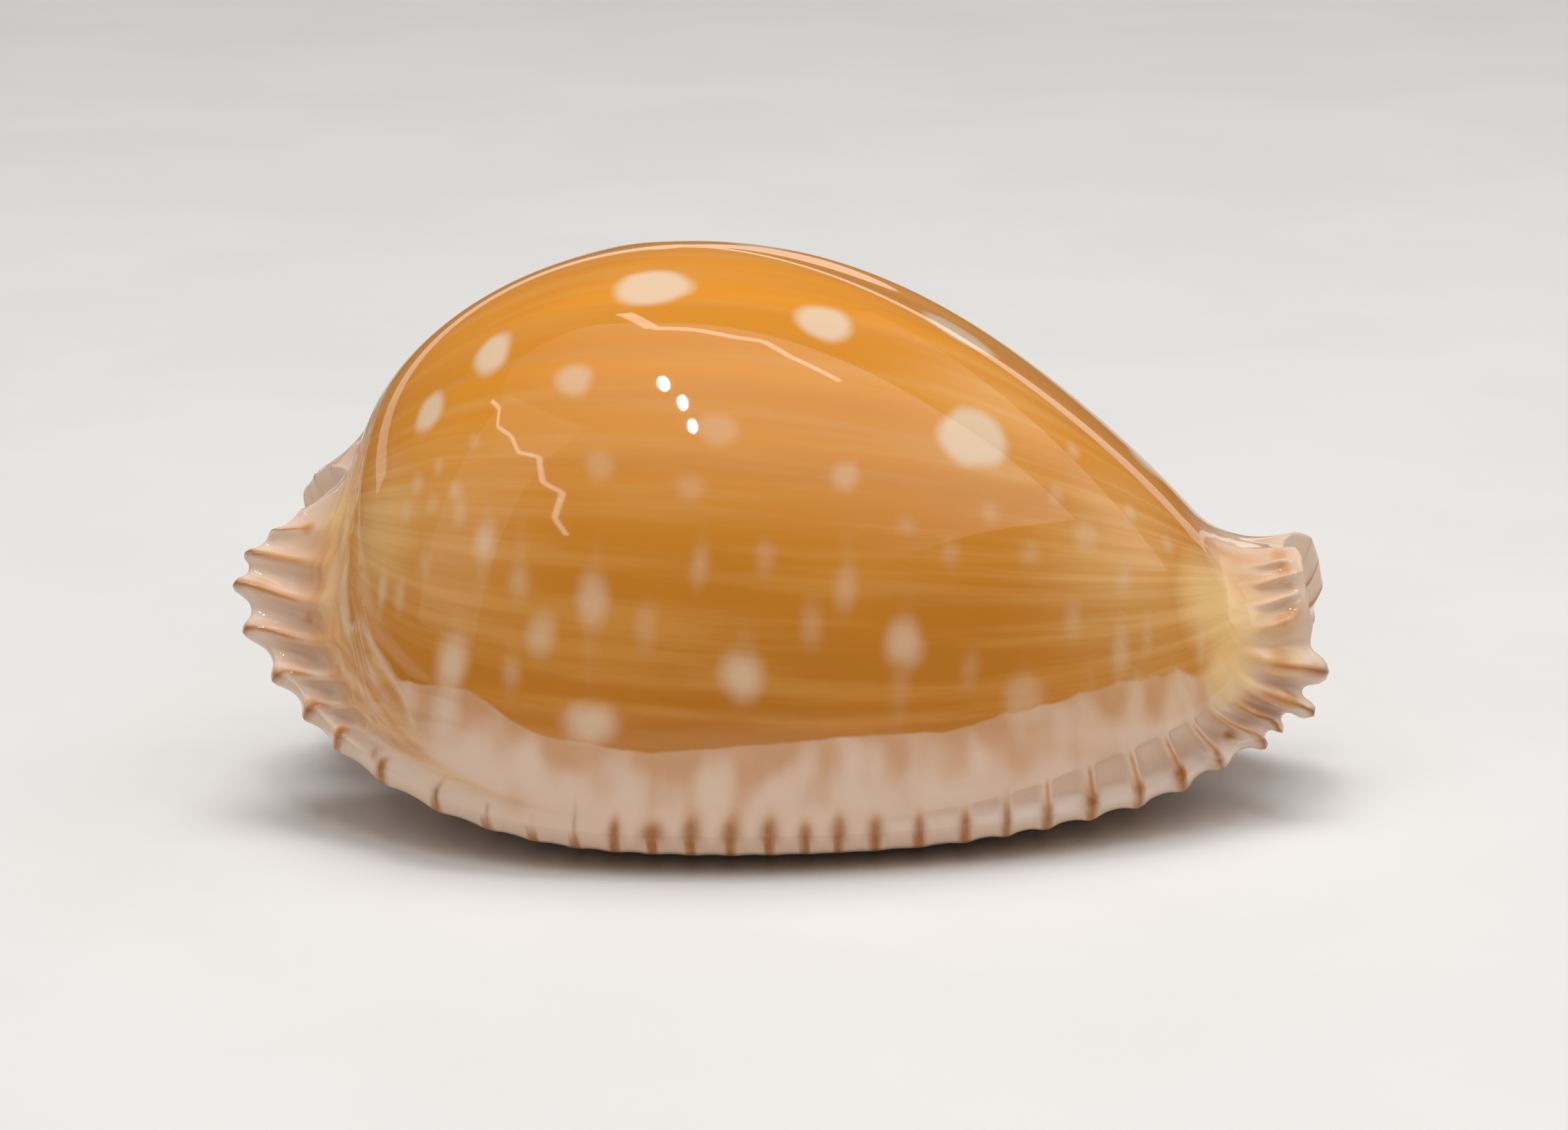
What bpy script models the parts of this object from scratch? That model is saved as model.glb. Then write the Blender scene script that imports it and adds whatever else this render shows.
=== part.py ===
"""Great spotted cowrie shell, one hollow piece, resting on its base.

+X is the anterior (narrow) end, -X the posterior end, +Z is up. The outer-lip side is -Y and the
columellar side is +Y. Lengths in this file are millimetres unless a name ends in _M.

The whole surface is one closed sheet. Its meridians start at the crown, run down the dome to the
crease, out over the flange to the margin, under the base to the lip of the aperture, in through
the slit and back up the inside of the cavity to the ceiling. One meridian runs along each rib.
"""

import math

import bmesh
import bpy
import numpy as np

# Driving dimensions: the crown is the dome's highest point. The cavity is the dome's shape, made
# smaller by WALL_SCALE about CAVITY_CENTRE.
MM = 0.001
CROWN = np.array([-5.0, 0.0, 30.83])
RIB_COUNT = 80
RIB_HEIGHT_BASE = 0.42
RIB_HEIGHT_TOOTH = 0.55
RIB_SINK = 0.25
WALL_SCALE = 0.935
CAVITY_CENTRE = np.array([-2.0, 0.0, 10.0])
CORE_HALF_LENGTH = 20.0
CORE_HEIGHT = 11.0
CORE_SLOPE = 0.1
THROAT_DEPTH = 2.0

# Mesh density: meridians for each rib, and rings between each pair of stations
SAMPLES = 3
RINGS = (10, 5, 8, 2, 2, 5)

# Where the meridians go, by rib number. Rib 0 is at the anterior notch, ribs 1 to 39 run along the
# columellar side, rib 40 is at the posterior notch, and 41 to 79 run back along the outer lip.

# The dome as a smooth egg: azimuth from the anterior, reach from the crown's axis, height and fall
# angle there, and how full the meridian is near the crown and near its foot. The two sides match.
EGG = (
    (0, 34.9, 5.0, 80.0, 0.54, 0.25),
    (16, 31.1, 4.6, 85.0, 0.57, 0.38),
    (31, 25.8, 3.8, 88.0, 0.58, 0.52),
    (56, 20.3, 3.0, 91.0, 0.58, 0.57),
    (90, 17.8, 3.0, 91.5, 0.58, 0.57),
    (119, 19.1, 3.4, 91.0, 0.58, 0.57),
    (141, 20.7, 6.0, 91.0, 0.56, 0.59),
    (158, 20.1, 10.0, 91.0, 0.53, 0.60),
    (180, 19.1, 14.0, 94.0, 0.48, 0.62),
)

# Crease where the dome ends and the flange starts: rib, azimuth, share of the egg's meridian
CREASE = (
    (0, 0.0, 0.655),
    (1, 3.9, 0.665),
    (3, 8.8, 0.725),
    (5, 12.9, 0.795),
    (7, 17.2, 0.865),
    (9, 22.1, 0.925),
    (11, 28.9, 0.955),
    (14, 41.5, 0.965),
    (18, 61.9, 0.965),
    (22, 87.8, 0.965),
    (26, 112.6, 0.965),
    (29, 128.7, 0.96),
    (31, 137.8, 0.95),
    (33, 146.0, 0.93),
    (35, 153.8, 0.89),
    (37, 161.6, 0.82),
    (39, 170.9, 0.74),
    (40, 178.0, 0.695),
    (41, 184.9, 0.74),
    (43, 194.1, 0.835),
    (45, 202.3, 0.9),
    (47, 209.7, 0.95),
    (49, 218.1, 0.965),
    (51, 228.0, 0.965),
    (53, 240.7, 0.97),
    (56, 261.0, 0.98),
    (60, 288.7, 0.98),
    (64, 312.5, 0.97),
    (67, 327.9, 0.953),
    (69, 336.2, 0.937),
    (71, 341.4, 0.907),
    (73, 344.8, 0.862),
    (75, 348.2, 0.79),
    (77, 351.5, 0.722),
    (79, 356.1, 0.665),
)

# Margin edge: rib, x, y, z
MARGIN = (
    (0, 27.6, 0.0, 13.9),
    (1, 28.2, 1.8, 14.2),
    (2, 29.4, 3.1, 13.7),
    (3, 29.9, 3.9, 12.4),
    (4, 30.15, 4.3, 10.8),
    (5, 29.55, 4.8, 8.9),
    (6, 28.7, 5.6, 7.2),
    (7, 27.3, 6.9, 5.9),
    (9, 23.9, 9.6, 4.3),
    (11, 19.6, 12.2, 3.2),
    (14, 13.0, 14.8, 2.5),
    (18, 4.5, 17.4, 2.4),
    (22, -4.5, 18.0, 2.4),
    (26, -13.5, 16.8, 2.8),
    (29, -20.3, 13.9, 4.5),
    (31, -24.1, 11.0, 6.5),
    (33, -26.4, 8.5, 9.3),
    (35, -26.3, 6.6, 12.6),
    (36, -26.25, 5.6, 14.4),
    (37, -26.4, 4.9, 16.0),
    (38, -25.8, 4.0, 17.1),
    (39, -24.8, 2.6, 17.9),
    (40, -23.8, 0.9, 17.9),
    (41, -24.6, -0.9, 17.3),
    (42, -26.15, -2.0, 16.4),
    (43, -27.65, -2.8, 15.45),
    (44, -28.9, -3.5, 14.35),
    (45, -29.15, -4.4, 12.8),
    (46, -28.55, -5.4, 10.6),
    (47, -26.9, -7.0, 8.5),
    (49, -23.7, -10.3, 5.9),
    (51, -19.6, -13.6, 4.0),
    (53, -14.6, -16.1, 2.9),
    (56, -7.9, -17.7, 2.5),
    (60, 0.9, -17.6, 2.4),
    (64, 9.7, -15.7, 2.4),
    (67, 16.7, -13.0, 2.7),
    (69, 21.6, -9.9, 3.4),
    (70, 23.6, -8.4, 4.2),
    (71, 25.8, -7.0, 4.9),
    (72, 26.8, -6.2, 5.5),
    (73, 28.0, -5.4, 6.4),
    (74, 28.8, -4.8, 8.2),
    (74.5, 28.9, -4.6, 9.8),
    (75, 28.75, -4.4, 11.2),
    (76, 28.6, -4.0, 12.3),
    (77, 28.5, -3.6, 13.3),
    (78, 28.4, -2.9, 14.0),
    (79, 28.1, -1.7, 14.3),
)

# Lip of the aperture: rib, x, y, z, belly (how far the base bulges out between margin and lip)
LIP = (
    (0, 27.0, 0.2, 12.5, 0.4),
    (1, 27.6, 1.0, 12.3, 0.4),
    (2, 28.3, 1.6, 11.7, 0.4),
    (3, 28.8, 2.0, 10.8, 0.4),
    (4, 28.9, 2.1, 9.6, 0.4),
    (5, 28.6, 2.1, 8.1, 0.45),
    (6, 27.9, 2.0, 6.6, 0.55),
    (7, 26.8, 1.8, 5.3, 0.75),
    (9, 24.0, 1.3, 3.6, 1.1),
    (11, 19.7, 0.9, 2.5, 1.4),
    (14, 13.0, 0.7, 1.9, 1.6),
    (18, 4.6, 0.5, 1.5, 2.0),
    (22, -3.7, 0.5, 1.45, 2.05),
    (26, -12.0, 1.0, 1.9, 1.9),
    (29, -18.8, 1.8, 3.4, 1.65),
    (31, -22.6, 2.4, 5.3, 1.4),
    (33, -25.2, 2.9, 7.9, 1.0),
    (35, -26.2, 3.1, 11.0, 0.6),
    (37, -25.5, 2.8, 13.8, 0.45),
    (38, -24.8, 2.5, 14.8, 0.4),
    (39, -24.0, 2.0, 15.5, 0.4),
    (40, -23.5, 1.2, 15.6, 0.4),
    (41, -24.1, 0.5, 15.4, 0.4),
    (42, -25.1, 0.0, 14.6, 0.4),
    (43, -26.3, -0.4, 13.6, 0.35),
    (45, -27.5, -0.8, 10.6, 0.4),
    (47, -26.0, -0.7, 7.4, 0.8),
    (49, -23.0, -0.6, 5.0, 1.4),
    (51, -19.0, -1.0, 3.4, 1.6),
    (53, -14.4, -1.6, 2.2, 1.75),
    (56, -7.9, -2.0, 1.6, 2.0),
    (60, 0.9, -2.1, 1.45, 2.0),
    (64, 9.8, -2.0, 1.6, 1.75),
    (67, 16.9, -1.8, 2.0, 1.25),
    (69, 21.7, -1.7, 2.7, 1.0),
    (71, 25.4, -1.7, 4.0, 0.7),
    (73, 27.1, -1.8, 5.9, 0.55),
    (75, 27.8, -1.9, 8.8, 0.5),
    (77, 27.7, -1.6, 11.0, 0.4),
    (79, 27.3, -0.8, 12.3, 0.4),
)

# How far each rib end stands out of the margin as a point, by rib number
SPINES = {
    68: 0.15, 69: 0.25, 70: 0.55, 71: 0.45, 72: 0.15, 73: 1.15, 74: 0.95,
    8: 0.2, 9: 0.25, 10: 0.2, 30: 0.2, 31: 0.3, 32: 0.4, 33: 0.4, 34: 0.3,
    44: 0.2, 45: 0.55, 46: 0.5, 47: 0.5, 48: 0.3, 49: 0.2, 50: 0.15, 51: 0.1,
}
SPINE_PLAIN = 0.04

# Strength of the ribs by rib number: on the flange and round the margin, and at the lip
STRENGTH = (
    (0, 0.0, 0.1),
    (2, 0.3, 0.15),
    (4, 0.6, 0.2),
    (7, 1.0, 0.6),
    (10, 0.8, 1.0),
    (14, 0.4, 1.0),
    (20, 0.2, 1.0),
    (27, 0.35, 1.0),
    (32, 0.9, 0.9),
    (35, 0.9, 0.3),
    (38, 0.5, 0.15),
    (40, 0.1, 0.1),
    (42, 0.25, 0.15),
    (45, 1.0, 0.3),
    (48, 0.8, 0.9),
    (52, 0.25, 1.0),
    (56, 0.1, 1.0),
    (62, 0.12, 1.0),
    (67, 0.5, 1.0),
    (71, 0.9, 0.9),
    (74, 1.0, 0.3),
    (77, 0.8, 0.2),
    (79, 0.3, 0.1),
)

# Stations along a meridian
CROWN_T, CREASE_T, MARGIN_T, LIP_T, THROAT_T, FLOOR_T, CEILING_T = range(7)


def closed_spline(table, where, period=RIB_COUNT):
    """Smooth closed curve through the rows of a table, read at the given places in its period."""
    data = np.array(table, dtype=float)
    knots = data[:, 0]
    values = data[:, 1:]
    count = len(knots)
    gap = np.diff(np.append(knots, knots[0] + period))
    rise = np.roll(values, -1, axis=0) - values
    system = np.zeros((count, count))
    right = np.zeros_like(values)
    for i in range(count):
        before = i - 1
        after = (i + 1) % count
        system[i, before] += 1.0 / gap[before]
        system[i, i] += 2.0 / gap[before] + 2.0 / gap[i]
        system[i, after] += 1.0 / gap[i]
        right[i] = 3.0 * (rise[before] / gap[before] ** 2 + rise[i] / gap[i] ** 2)
    slope = np.linalg.solve(system, right)
    where = np.mod(where, period)
    index = np.searchsorted(knots, where, side="right") - 1
    width = gap[index]
    u = (where - knots[index]) / width
    after = (index + 1) % count
    u = u[..., None]
    width = width[..., None]
    return (
        (1 + 2 * u) * (1 - u) ** 2 * values[index]
        + u * (1 - u) ** 2 * width * slope[index]
        + u ** 2 * (3 - 2 * u) * values[after]
        + u ** 2 * (u - 1) * width * slope[after]
    )


def unit(vector):
    """The same directions, each of length one."""
    return vector / np.maximum(np.linalg.norm(vector, axis=-1, keepdims=True), 1e-9)


def bezier(start, first, second, end, u):
    """A cubic curve with its two handles."""
    u = u[..., None]
    return (
        (1 - u) ** 3 * start
        + 3 * (1 - u) ** 2 * u * first
        + 3 * (1 - u) * u ** 2 * second
        + u ** 3 * end
    )


def smooth_step(low, high, value):
    """0 below low, 1 above high, smooth between."""
    u = np.clip((value - low) / (high - low), 0.0, 1.0)
    return u * u * (3 - 2 * u)


def rib_crest(rib, sharpness):
    """1 on every rib and 0 half-way between two."""
    return (0.5 + 0.5 * np.cos(2 * math.pi * rib)) ** sharpness


def spine_length(rib):
    """How far the margin stands out at each rib number."""
    numbers = range(RIB_COUNT + 1)
    lengths = [SPINES.get(number, SPINE_PLAIN) for number in numbers]
    return np.interp(np.mod(rib, RIB_COUNT), numbers, lengths)


def egg_table():
    """The egg's rows all the way round."""
    far_side = [(360 - row[0],) + row[1:] for row in EGG[-2:0:-1]]
    return EGG + tuple(far_side)


class Meridians:
    """The named points of the meridians at the given rib numbers."""

    def __init__(self, rib):
        azimuth, self.share = np.moveaxis(crease_curve(rib), -1, 0)
        turn = np.radians(azimuth)
        self.away = np.stack([np.cos(turn), np.sin(turn), np.zeros_like(turn)], axis=-1)
        egg = closed_spline(egg_table(), azimuth, period=360.0)
        reach, height, fall, self.crown_full, self.foot_full = np.moveaxis(egg[..., None], -2, 0)
        self.foot = CROWN + self.away * reach
        self.foot[..., 2] = height[..., 0]
        self.corner = CROWN + self.away * (reach - (CROWN[2] - height) / np.tan(np.radians(fall)))
        self.crease = egg_point(self, self.share)
        self.dome_end = unit(self.crease - egg_point(self, self.share - 0.01))
        lip = closed_spline(LIP, rib)
        self.lip = lip[..., :3]
        self.belly = lip[..., 3:4]
        margin = closed_spline(MARGIN, rib)
        self.out = unit(margin - (self.crease + self.lip) / 2)
        spine = spine_length(rib) * rib_crest(rib, 2.0)
        self.margin = margin + self.out * spine[..., None]
        # the middle line of the cavity, towards which the lip turns in
        core_x = np.clip(self.lip[..., 0], -CORE_HALF_LENGTH, CORE_HALF_LENGTH)
        core_z = CORE_HEIGHT - core_x * CORE_SLOPE
        core = np.stack([core_x, self.lip[..., 1], core_z], axis=-1)
        self.inward = unit(core - self.lip)


def crease_curve(rib):
    """Azimuth and share of the egg's meridian where the crease lies."""
    table = np.array(CREASE)
    table[:, 1] -= table[:, 0] * 360.0 / RIB_COUNT
    curve = closed_spline(table, rib)
    curve[..., 0] += rib * 360.0 / RIB_COUNT
    return curve


def egg_point(lines, share):
    """A point of the egg, from the crown at 0 to the egg's foot at 1."""
    first = CROWN + (lines.corner - CROWN) * lines.crown_full
    second = lines.foot + (lines.corner - lines.foot) * lines.foot_full
    return bezier(CROWN, first, second, lines.foot, share)


def dome_point(lines, u):
    """From the crown, where the dome is level, down to the crease."""
    return egg_point(lines, lines.share * u)


def flange_point(lines, u):
    """From the crease to the margin: straight down at the sides, flared out at the two ends."""
    chord = lines.margin - lines.crease
    length = np.linalg.norm(chord, axis=-1, keepdims=True)
    down = np.zeros_like(chord)
    down[..., 2] = -1.0
    flare = smooth_step(2.0, 5.0, length)
    leave = unit(lines.dome_end + chord / length * flare * (0.95 + 0.3 * lines.away[..., :1]))
    arrive = unit(down * (1 - flare) + lines.out * flare)
    first = lines.crease + leave * length * 0.38
    second = lines.margin - arrive * length * 0.36
    return bezier(lines.crease, first, second, lines.margin, u)


def base_point(lines, u):
    """From the margin under the base, or round the rim of a notch, to the lip."""
    round_out = np.sqrt(np.maximum(1 - np.abs(2 * u - 1) ** 2.6, 0.0))[..., None]
    straight = lines.margin + (lines.lip - lines.margin) * u[..., None]
    return straight - lines.inward * lines.belly * round_out


def throat_point(lines, u):
    """From the lip in through the slit."""
    return lines.lip + lines.inward * THROAT_DEPTH * u[..., None]


def cavity_wall(point):
    """The inside of the dome that matches a point of its outside."""
    return CAVITY_CENTRE + (point - CAVITY_CENTRE) * WALL_SCALE


def floor_point(lines, u):
    """From the throat over the cavity's floor to the foot of its wall."""
    start = throat_point(lines, np.ones_like(u))
    end = cavity_wall(lines.crease)
    return start + (end - start) * u[..., None]


def smooth_surface(rib, t):
    """The surface without its ribs, at rib numbers and stations along the meridian."""
    lines = Meridians(rib)
    pieces = (
        dome_point(lines, np.clip(t, 0, 1)),
        flange_point(lines, np.clip(t - CREASE_T, 0, 1)),
        base_point(lines, np.clip(t - MARGIN_T, 0, 1)),
        throat_point(lines, np.clip(t - LIP_T, 0, 1)),
        floor_point(lines, np.clip(t - THROAT_T, 0, 1)),
        cavity_wall(dome_point(lines, np.clip(CEILING_T - t, 0, 1))),
    )
    which = np.clip(np.floor(t).astype(int), 0, len(pieces) - 1)
    return np.choose(which[..., None], pieces)


def rib_height(rib, t):
    """Height of the ribs over the smooth surface."""
    flank, under = np.moveaxis(closed_spline(STRENGTH, rib), -1, 0)
    start = smooth_step(CREASE_T + 0.1, MARGIN_T, t)
    turn = smooth_step(MARGIN_T + 0.15, MARGIN_T + 0.75, t)
    tooth = smooth_step(MARGIN_T + 0.8, LIP_T, t)
    fade = 1 - smooth_step(LIP_T + 0.05, LIP_T + 0.6, t)
    height = RIB_HEIGHT_BASE + (RIB_HEIGHT_TOOTH - RIB_HEIGHT_BASE) * tooth
    strength = flank + (under - flank) * turn
    return height * strength * start * fade * (rib_crest(rib, 2.0) - RIB_SINK)


def shell_surface(rib, t):
    """The finished surface: ribs raised square to the smooth one, and the base made flat at 0."""
    step = 0.004
    along = smooth_surface(rib, t + step) - smooth_surface(rib, t - step)
    across = smooth_surface(rib + step, t) - smooth_surface(rib - step, t)
    normal = unit(np.cross(along, across))
    point = smooth_surface(rib, t) + normal * rib_height(rib, t)[..., None]
    point[..., 2] = np.maximum(point[..., 2], 0.0)
    return point


def ring_stations(counts):
    """Stations of the rings, evenly spread between each pair of named stations."""
    stations = [0.0]
    for start, count in enumerate(counts):
        stations += [start + (i + 1) / count for i in range(count)]
    return np.array(stations)


def shell_mesh(name, samples, counts, coarse_sides):
    """A sphere whose rings and meridians are laid on the shell's surface.

    Where coarse_sides is set, only the meridians on the ribs are kept inside and on the dome,
    which have no ribs.
    """
    stations = ring_stations(counts)
    meridians = RIB_COUNT * samples
    last = len(stations) - 1
    mesh = bpy.data.meshes.new(name)
    sheet = bmesh.new()
    bmesh.ops.create_uvsphere(sheet, u_segments=meridians, v_segments=last, radius=1.0)
    sheet.verts.ensure_lookup_table()
    places = np.array([vert.co for vert in sheet.verts])
    ring = np.rint(np.arccos(np.clip(places[:, 2], -1, 1)) / math.pi * last).astype(int)
    turn = np.rint(np.arctan2(places[:, 1], places[:, 0]) / (2 * math.pi) * meridians)
    turn = np.mod(turn, meridians).astype(int)
    points = shell_surface(turn / samples, stations[ring])
    points[ring == 0] = CROWN
    points[ring == last] = cavity_wall(CROWN)
    points[:, :2] -= (points[:, :2].max(axis=0) + points[:, :2].min(axis=0)) / 2
    for vert, point in zip(sheet.verts, points):
        vert.co = point * MM
    if coarse_sides:
        weld_plain_rings(sheet, ring, turn, stations, samples)
    sheet.to_mesh(mesh)
    sheet.free()
    return mesh


def weld_plain_rings(sheet, ring, turn, stations, samples):
    """Keep one meridian for each rib on the rings that carry no ribs."""
    last = len(stations) - 1
    plain = (stations < CREASE_T + 0.01) | (stations > LIP_T + 0.6)
    keeper = {}
    for vert, i, j in zip(sheet.verts, ring, turn):
        if j % samples == 0:
            keeper[i, j // samples] = vert
    targets = {}
    for vert, i, j in zip(sheet.verts, ring, turn):
        if plain[i] and 0 < i < last and j % samples:
            nearest = int(j / samples + 0.5) % RIB_COUNT
            targets[vert] = keeper[i, nearest]
    bmesh.ops.weld_verts(sheet, targetmap=targets)


def shell_material():
    """Glossy orange-brown porcelain."""
    material = bpy.data.materials.new("shell_glaze")
    material.use_nodes = True
    shader = material.node_tree.nodes["Principled BSDF"]
    shader.inputs["Base Color"].default_value = (0.66, 0.36, 0.14, 1.0)
    shader.inputs["Roughness"].default_value = 0.22
    shader.inputs["Metallic"].default_value = 0.0
    return material


def build_shell(collection):
    """The shell as one object."""
    mesh = shell_mesh("shell", SAMPLES, RINGS, coarse_sides=True)
    mesh.materials.append(shell_material())
    shell = bpy.data.objects.new("shell", mesh)
    collection.objects.link(shell)
    return shell


def main():
    for item in list(bpy.data.objects):
        bpy.data.objects.remove(item, do_unlink=True)
    collection = bpy.data.collections.new("great_spotted_cowrie")
    bpy.context.scene.collection.children.link(collection)
    build_shell(collection)


main()
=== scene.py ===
"""Great spotted cowrie shell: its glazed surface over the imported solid, and the table it rests on.

+X is the anterior (narrow) end, -X the posterior end, +Z is up. The outer-lip side is -Y and the
columellar side is +Y. Lengths are millimetres unless a name or a property says metres.
"""

import math

import bpy
import numpy as np
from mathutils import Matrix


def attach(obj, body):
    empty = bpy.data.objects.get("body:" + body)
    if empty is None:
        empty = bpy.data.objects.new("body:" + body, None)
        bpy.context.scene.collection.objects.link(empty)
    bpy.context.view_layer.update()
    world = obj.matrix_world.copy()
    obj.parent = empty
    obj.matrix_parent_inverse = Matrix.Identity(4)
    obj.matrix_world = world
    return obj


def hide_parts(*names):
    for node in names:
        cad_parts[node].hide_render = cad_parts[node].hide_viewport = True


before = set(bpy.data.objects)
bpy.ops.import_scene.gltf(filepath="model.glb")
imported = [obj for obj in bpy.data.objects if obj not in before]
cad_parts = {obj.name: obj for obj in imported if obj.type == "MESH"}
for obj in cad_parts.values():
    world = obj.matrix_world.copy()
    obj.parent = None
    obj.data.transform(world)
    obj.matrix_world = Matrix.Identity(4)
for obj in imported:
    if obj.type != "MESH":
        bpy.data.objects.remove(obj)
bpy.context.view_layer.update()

bl_info = {
    "name": "Great Spotted Cowrie",
    "version": (1, 0, 0),
    "blender": (4, 5, 0),
    "location": "3D View > Sidebar > Cowrie",
    "description": "Models a great spotted cowrie shell and the table that it rests on",
    "category": "Object",
}

BODY = "root"
NODE = "shell"

# Driving dimensions: the crown is the dome's highest point. The cavity is the dome's shape, made
# smaller by WALL_SCALE about CAVITY_CENTRE, and the core is its middle line. RIB_SINK is the share
# of a rib that lies under the smooth surface.
MM = 0.001
CROWN = np.array([-5.0, 0.0, 30.83])
RIB_COUNT = 80
RIB_SINK = 0.25
WALL_SCALE = 0.935
CAVITY_CENTRE = np.array([-2.0, 0.0, 10.0])
CORE_HALF_LENGTH = 20.0
CORE_HEIGHT = 11.0
CORE_SLOPE = 0.1
THROAT_DEPTH = 2.0

# Mesh density: meridians for each rib, and rings between each pair of stations
SAMPLES = 12
RINGS = (110, 24, 22, 4, 3, 12)

# One meridian in so many is kept from each station on
KEPT_MERIDIANS = (
    (0.0, 16), (0.08, 8), (0.16, 4), (0.4, 2), (0.985, 1), (3.7, 2), (3.95, 8),
)

# Where the meridians go, by rib number. Rib 0 is at the anterior notch, ribs 1 to 39 run along the
# columellar side, rib 40 is at the posterior notch, and 41 to 79 run back along the outer lip.

# The dome as a smooth egg: azimuth from the anterior, reach from the crown's axis, height and fall
# angle there, and how full the meridian is near the crown and near its foot. The two sides match.
EGG = (
    (0, 34.9, 5.0, 80.0, 0.54, 0.25),
    (16, 31.1, 4.6, 85.0, 0.57, 0.38),
    (31, 25.8, 3.8, 88.0, 0.58, 0.52),
    (56, 20.3, 3.0, 91.0, 0.58, 0.57),
    (90, 17.8, 3.0, 91.5, 0.58, 0.57),
    (119, 19.1, 3.4, 91.0, 0.58, 0.57),
    (141, 20.7, 6.0, 91.0, 0.56, 0.59),
    (158, 20.1, 10.0, 91.0, 0.53, 0.60),
    (180, 19.1, 14.0, 94.0, 0.48, 0.62),
)

# Crease where the dome ends and the flange starts: rib, azimuth, share of the egg's meridian
CREASE = (
    (0, 0.0, 0.655), (1, 3.9, 0.665), (3, 8.8, 0.725), (5, 12.9, 0.795), (7, 17.2, 0.865),
    (9, 22.1, 0.925), (11, 28.9, 0.955), (14, 41.5, 0.965), (18, 61.9, 0.965), (22, 87.8, 0.965),
    (26, 112.6, 0.965), (29, 128.7, 0.96), (31, 137.8, 0.95), (33, 146.0, 0.93), (35, 153.8, 0.89),
    (37, 161.6, 0.82), (39, 170.9, 0.74), (40, 178.0, 0.695), (41, 184.9, 0.74), (43, 194.1, 0.835),
    (45, 202.3, 0.9), (47, 209.7, 0.95), (49, 218.1, 0.965), (51, 228.0, 0.965), (53, 240.7, 0.97),
    (56, 261.0, 0.98), (60, 288.7, 0.98), (64, 312.5, 0.97), (67, 327.9, 0.953), (69, 336.2, 0.937),
    (71, 341.4, 0.907), (73, 344.8, 0.862), (75, 348.2, 0.79), (77, 351.5, 0.722),
    (79, 356.1, 0.665),
)

# Margin edge: rib, x, y, z
MARGIN = (
    (0, 27.6, 0.0, 13.9), (1, 28.2, 1.8, 14.2), (2, 29.4, 3.1, 13.7), (3, 29.9, 3.9, 12.4),
    (4, 30.15, 4.3, 10.8), (5, 29.55, 4.8, 8.9), (6, 28.7, 5.6, 7.2), (7, 27.3, 6.9, 5.9),
    (9, 23.9, 9.6, 4.3), (11, 19.6, 12.2, 3.2), (14, 13.0, 14.8, 2.5), (18, 4.5, 17.4, 2.4),
    (22, -4.5, 18.0, 2.4), (26, -13.5, 16.8, 2.8), (29, -20.3, 13.9, 4.5), (31, -24.1, 11.0, 6.5),
    (33, -26.4, 8.5, 9.3), (35, -26.3, 6.6, 12.6), (36, -26.25, 5.6, 14.4), (37, -26.4, 4.9, 16.0),
    (38, -25.8, 4.0, 17.1), (39, -24.8, 2.6, 17.9), (40, -23.8, 0.9, 17.9), (41, -24.6, -0.9, 17.3),
    (42, -26.15, -2.0, 16.4), (43, -27.65, -2.8, 15.45), (44, -28.9, -3.5, 14.35),
    (45, -29.15, -4.4, 12.8), (46, -28.55, -5.4, 10.6), (47, -26.9, -7.0, 8.5),
    (49, -23.7, -10.3, 5.9), (51, -19.6, -13.6, 4.0), (53, -14.6, -16.1, 2.9),
    (56, -7.9, -17.7, 2.5), (60, 0.9, -17.6, 2.4), (64, 9.7, -15.7, 2.4), (67, 16.7, -13.0, 2.7),
    (69, 21.6, -9.9, 3.4), (70, 23.6, -8.4, 4.2), (71, 25.8, -7.0, 4.9), (72, 26.8, -6.2, 5.5),
    (73, 28.0, -5.4, 6.4), (74, 28.8, -4.8, 8.2), (74.5, 28.9, -4.6, 9.8), (75, 28.75, -4.4, 11.2),
    (76, 28.6, -4.0, 12.3), (77, 28.5, -3.6, 13.3), (78, 28.4, -2.9, 14.0), (79, 28.1, -1.7, 14.3),
)

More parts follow.
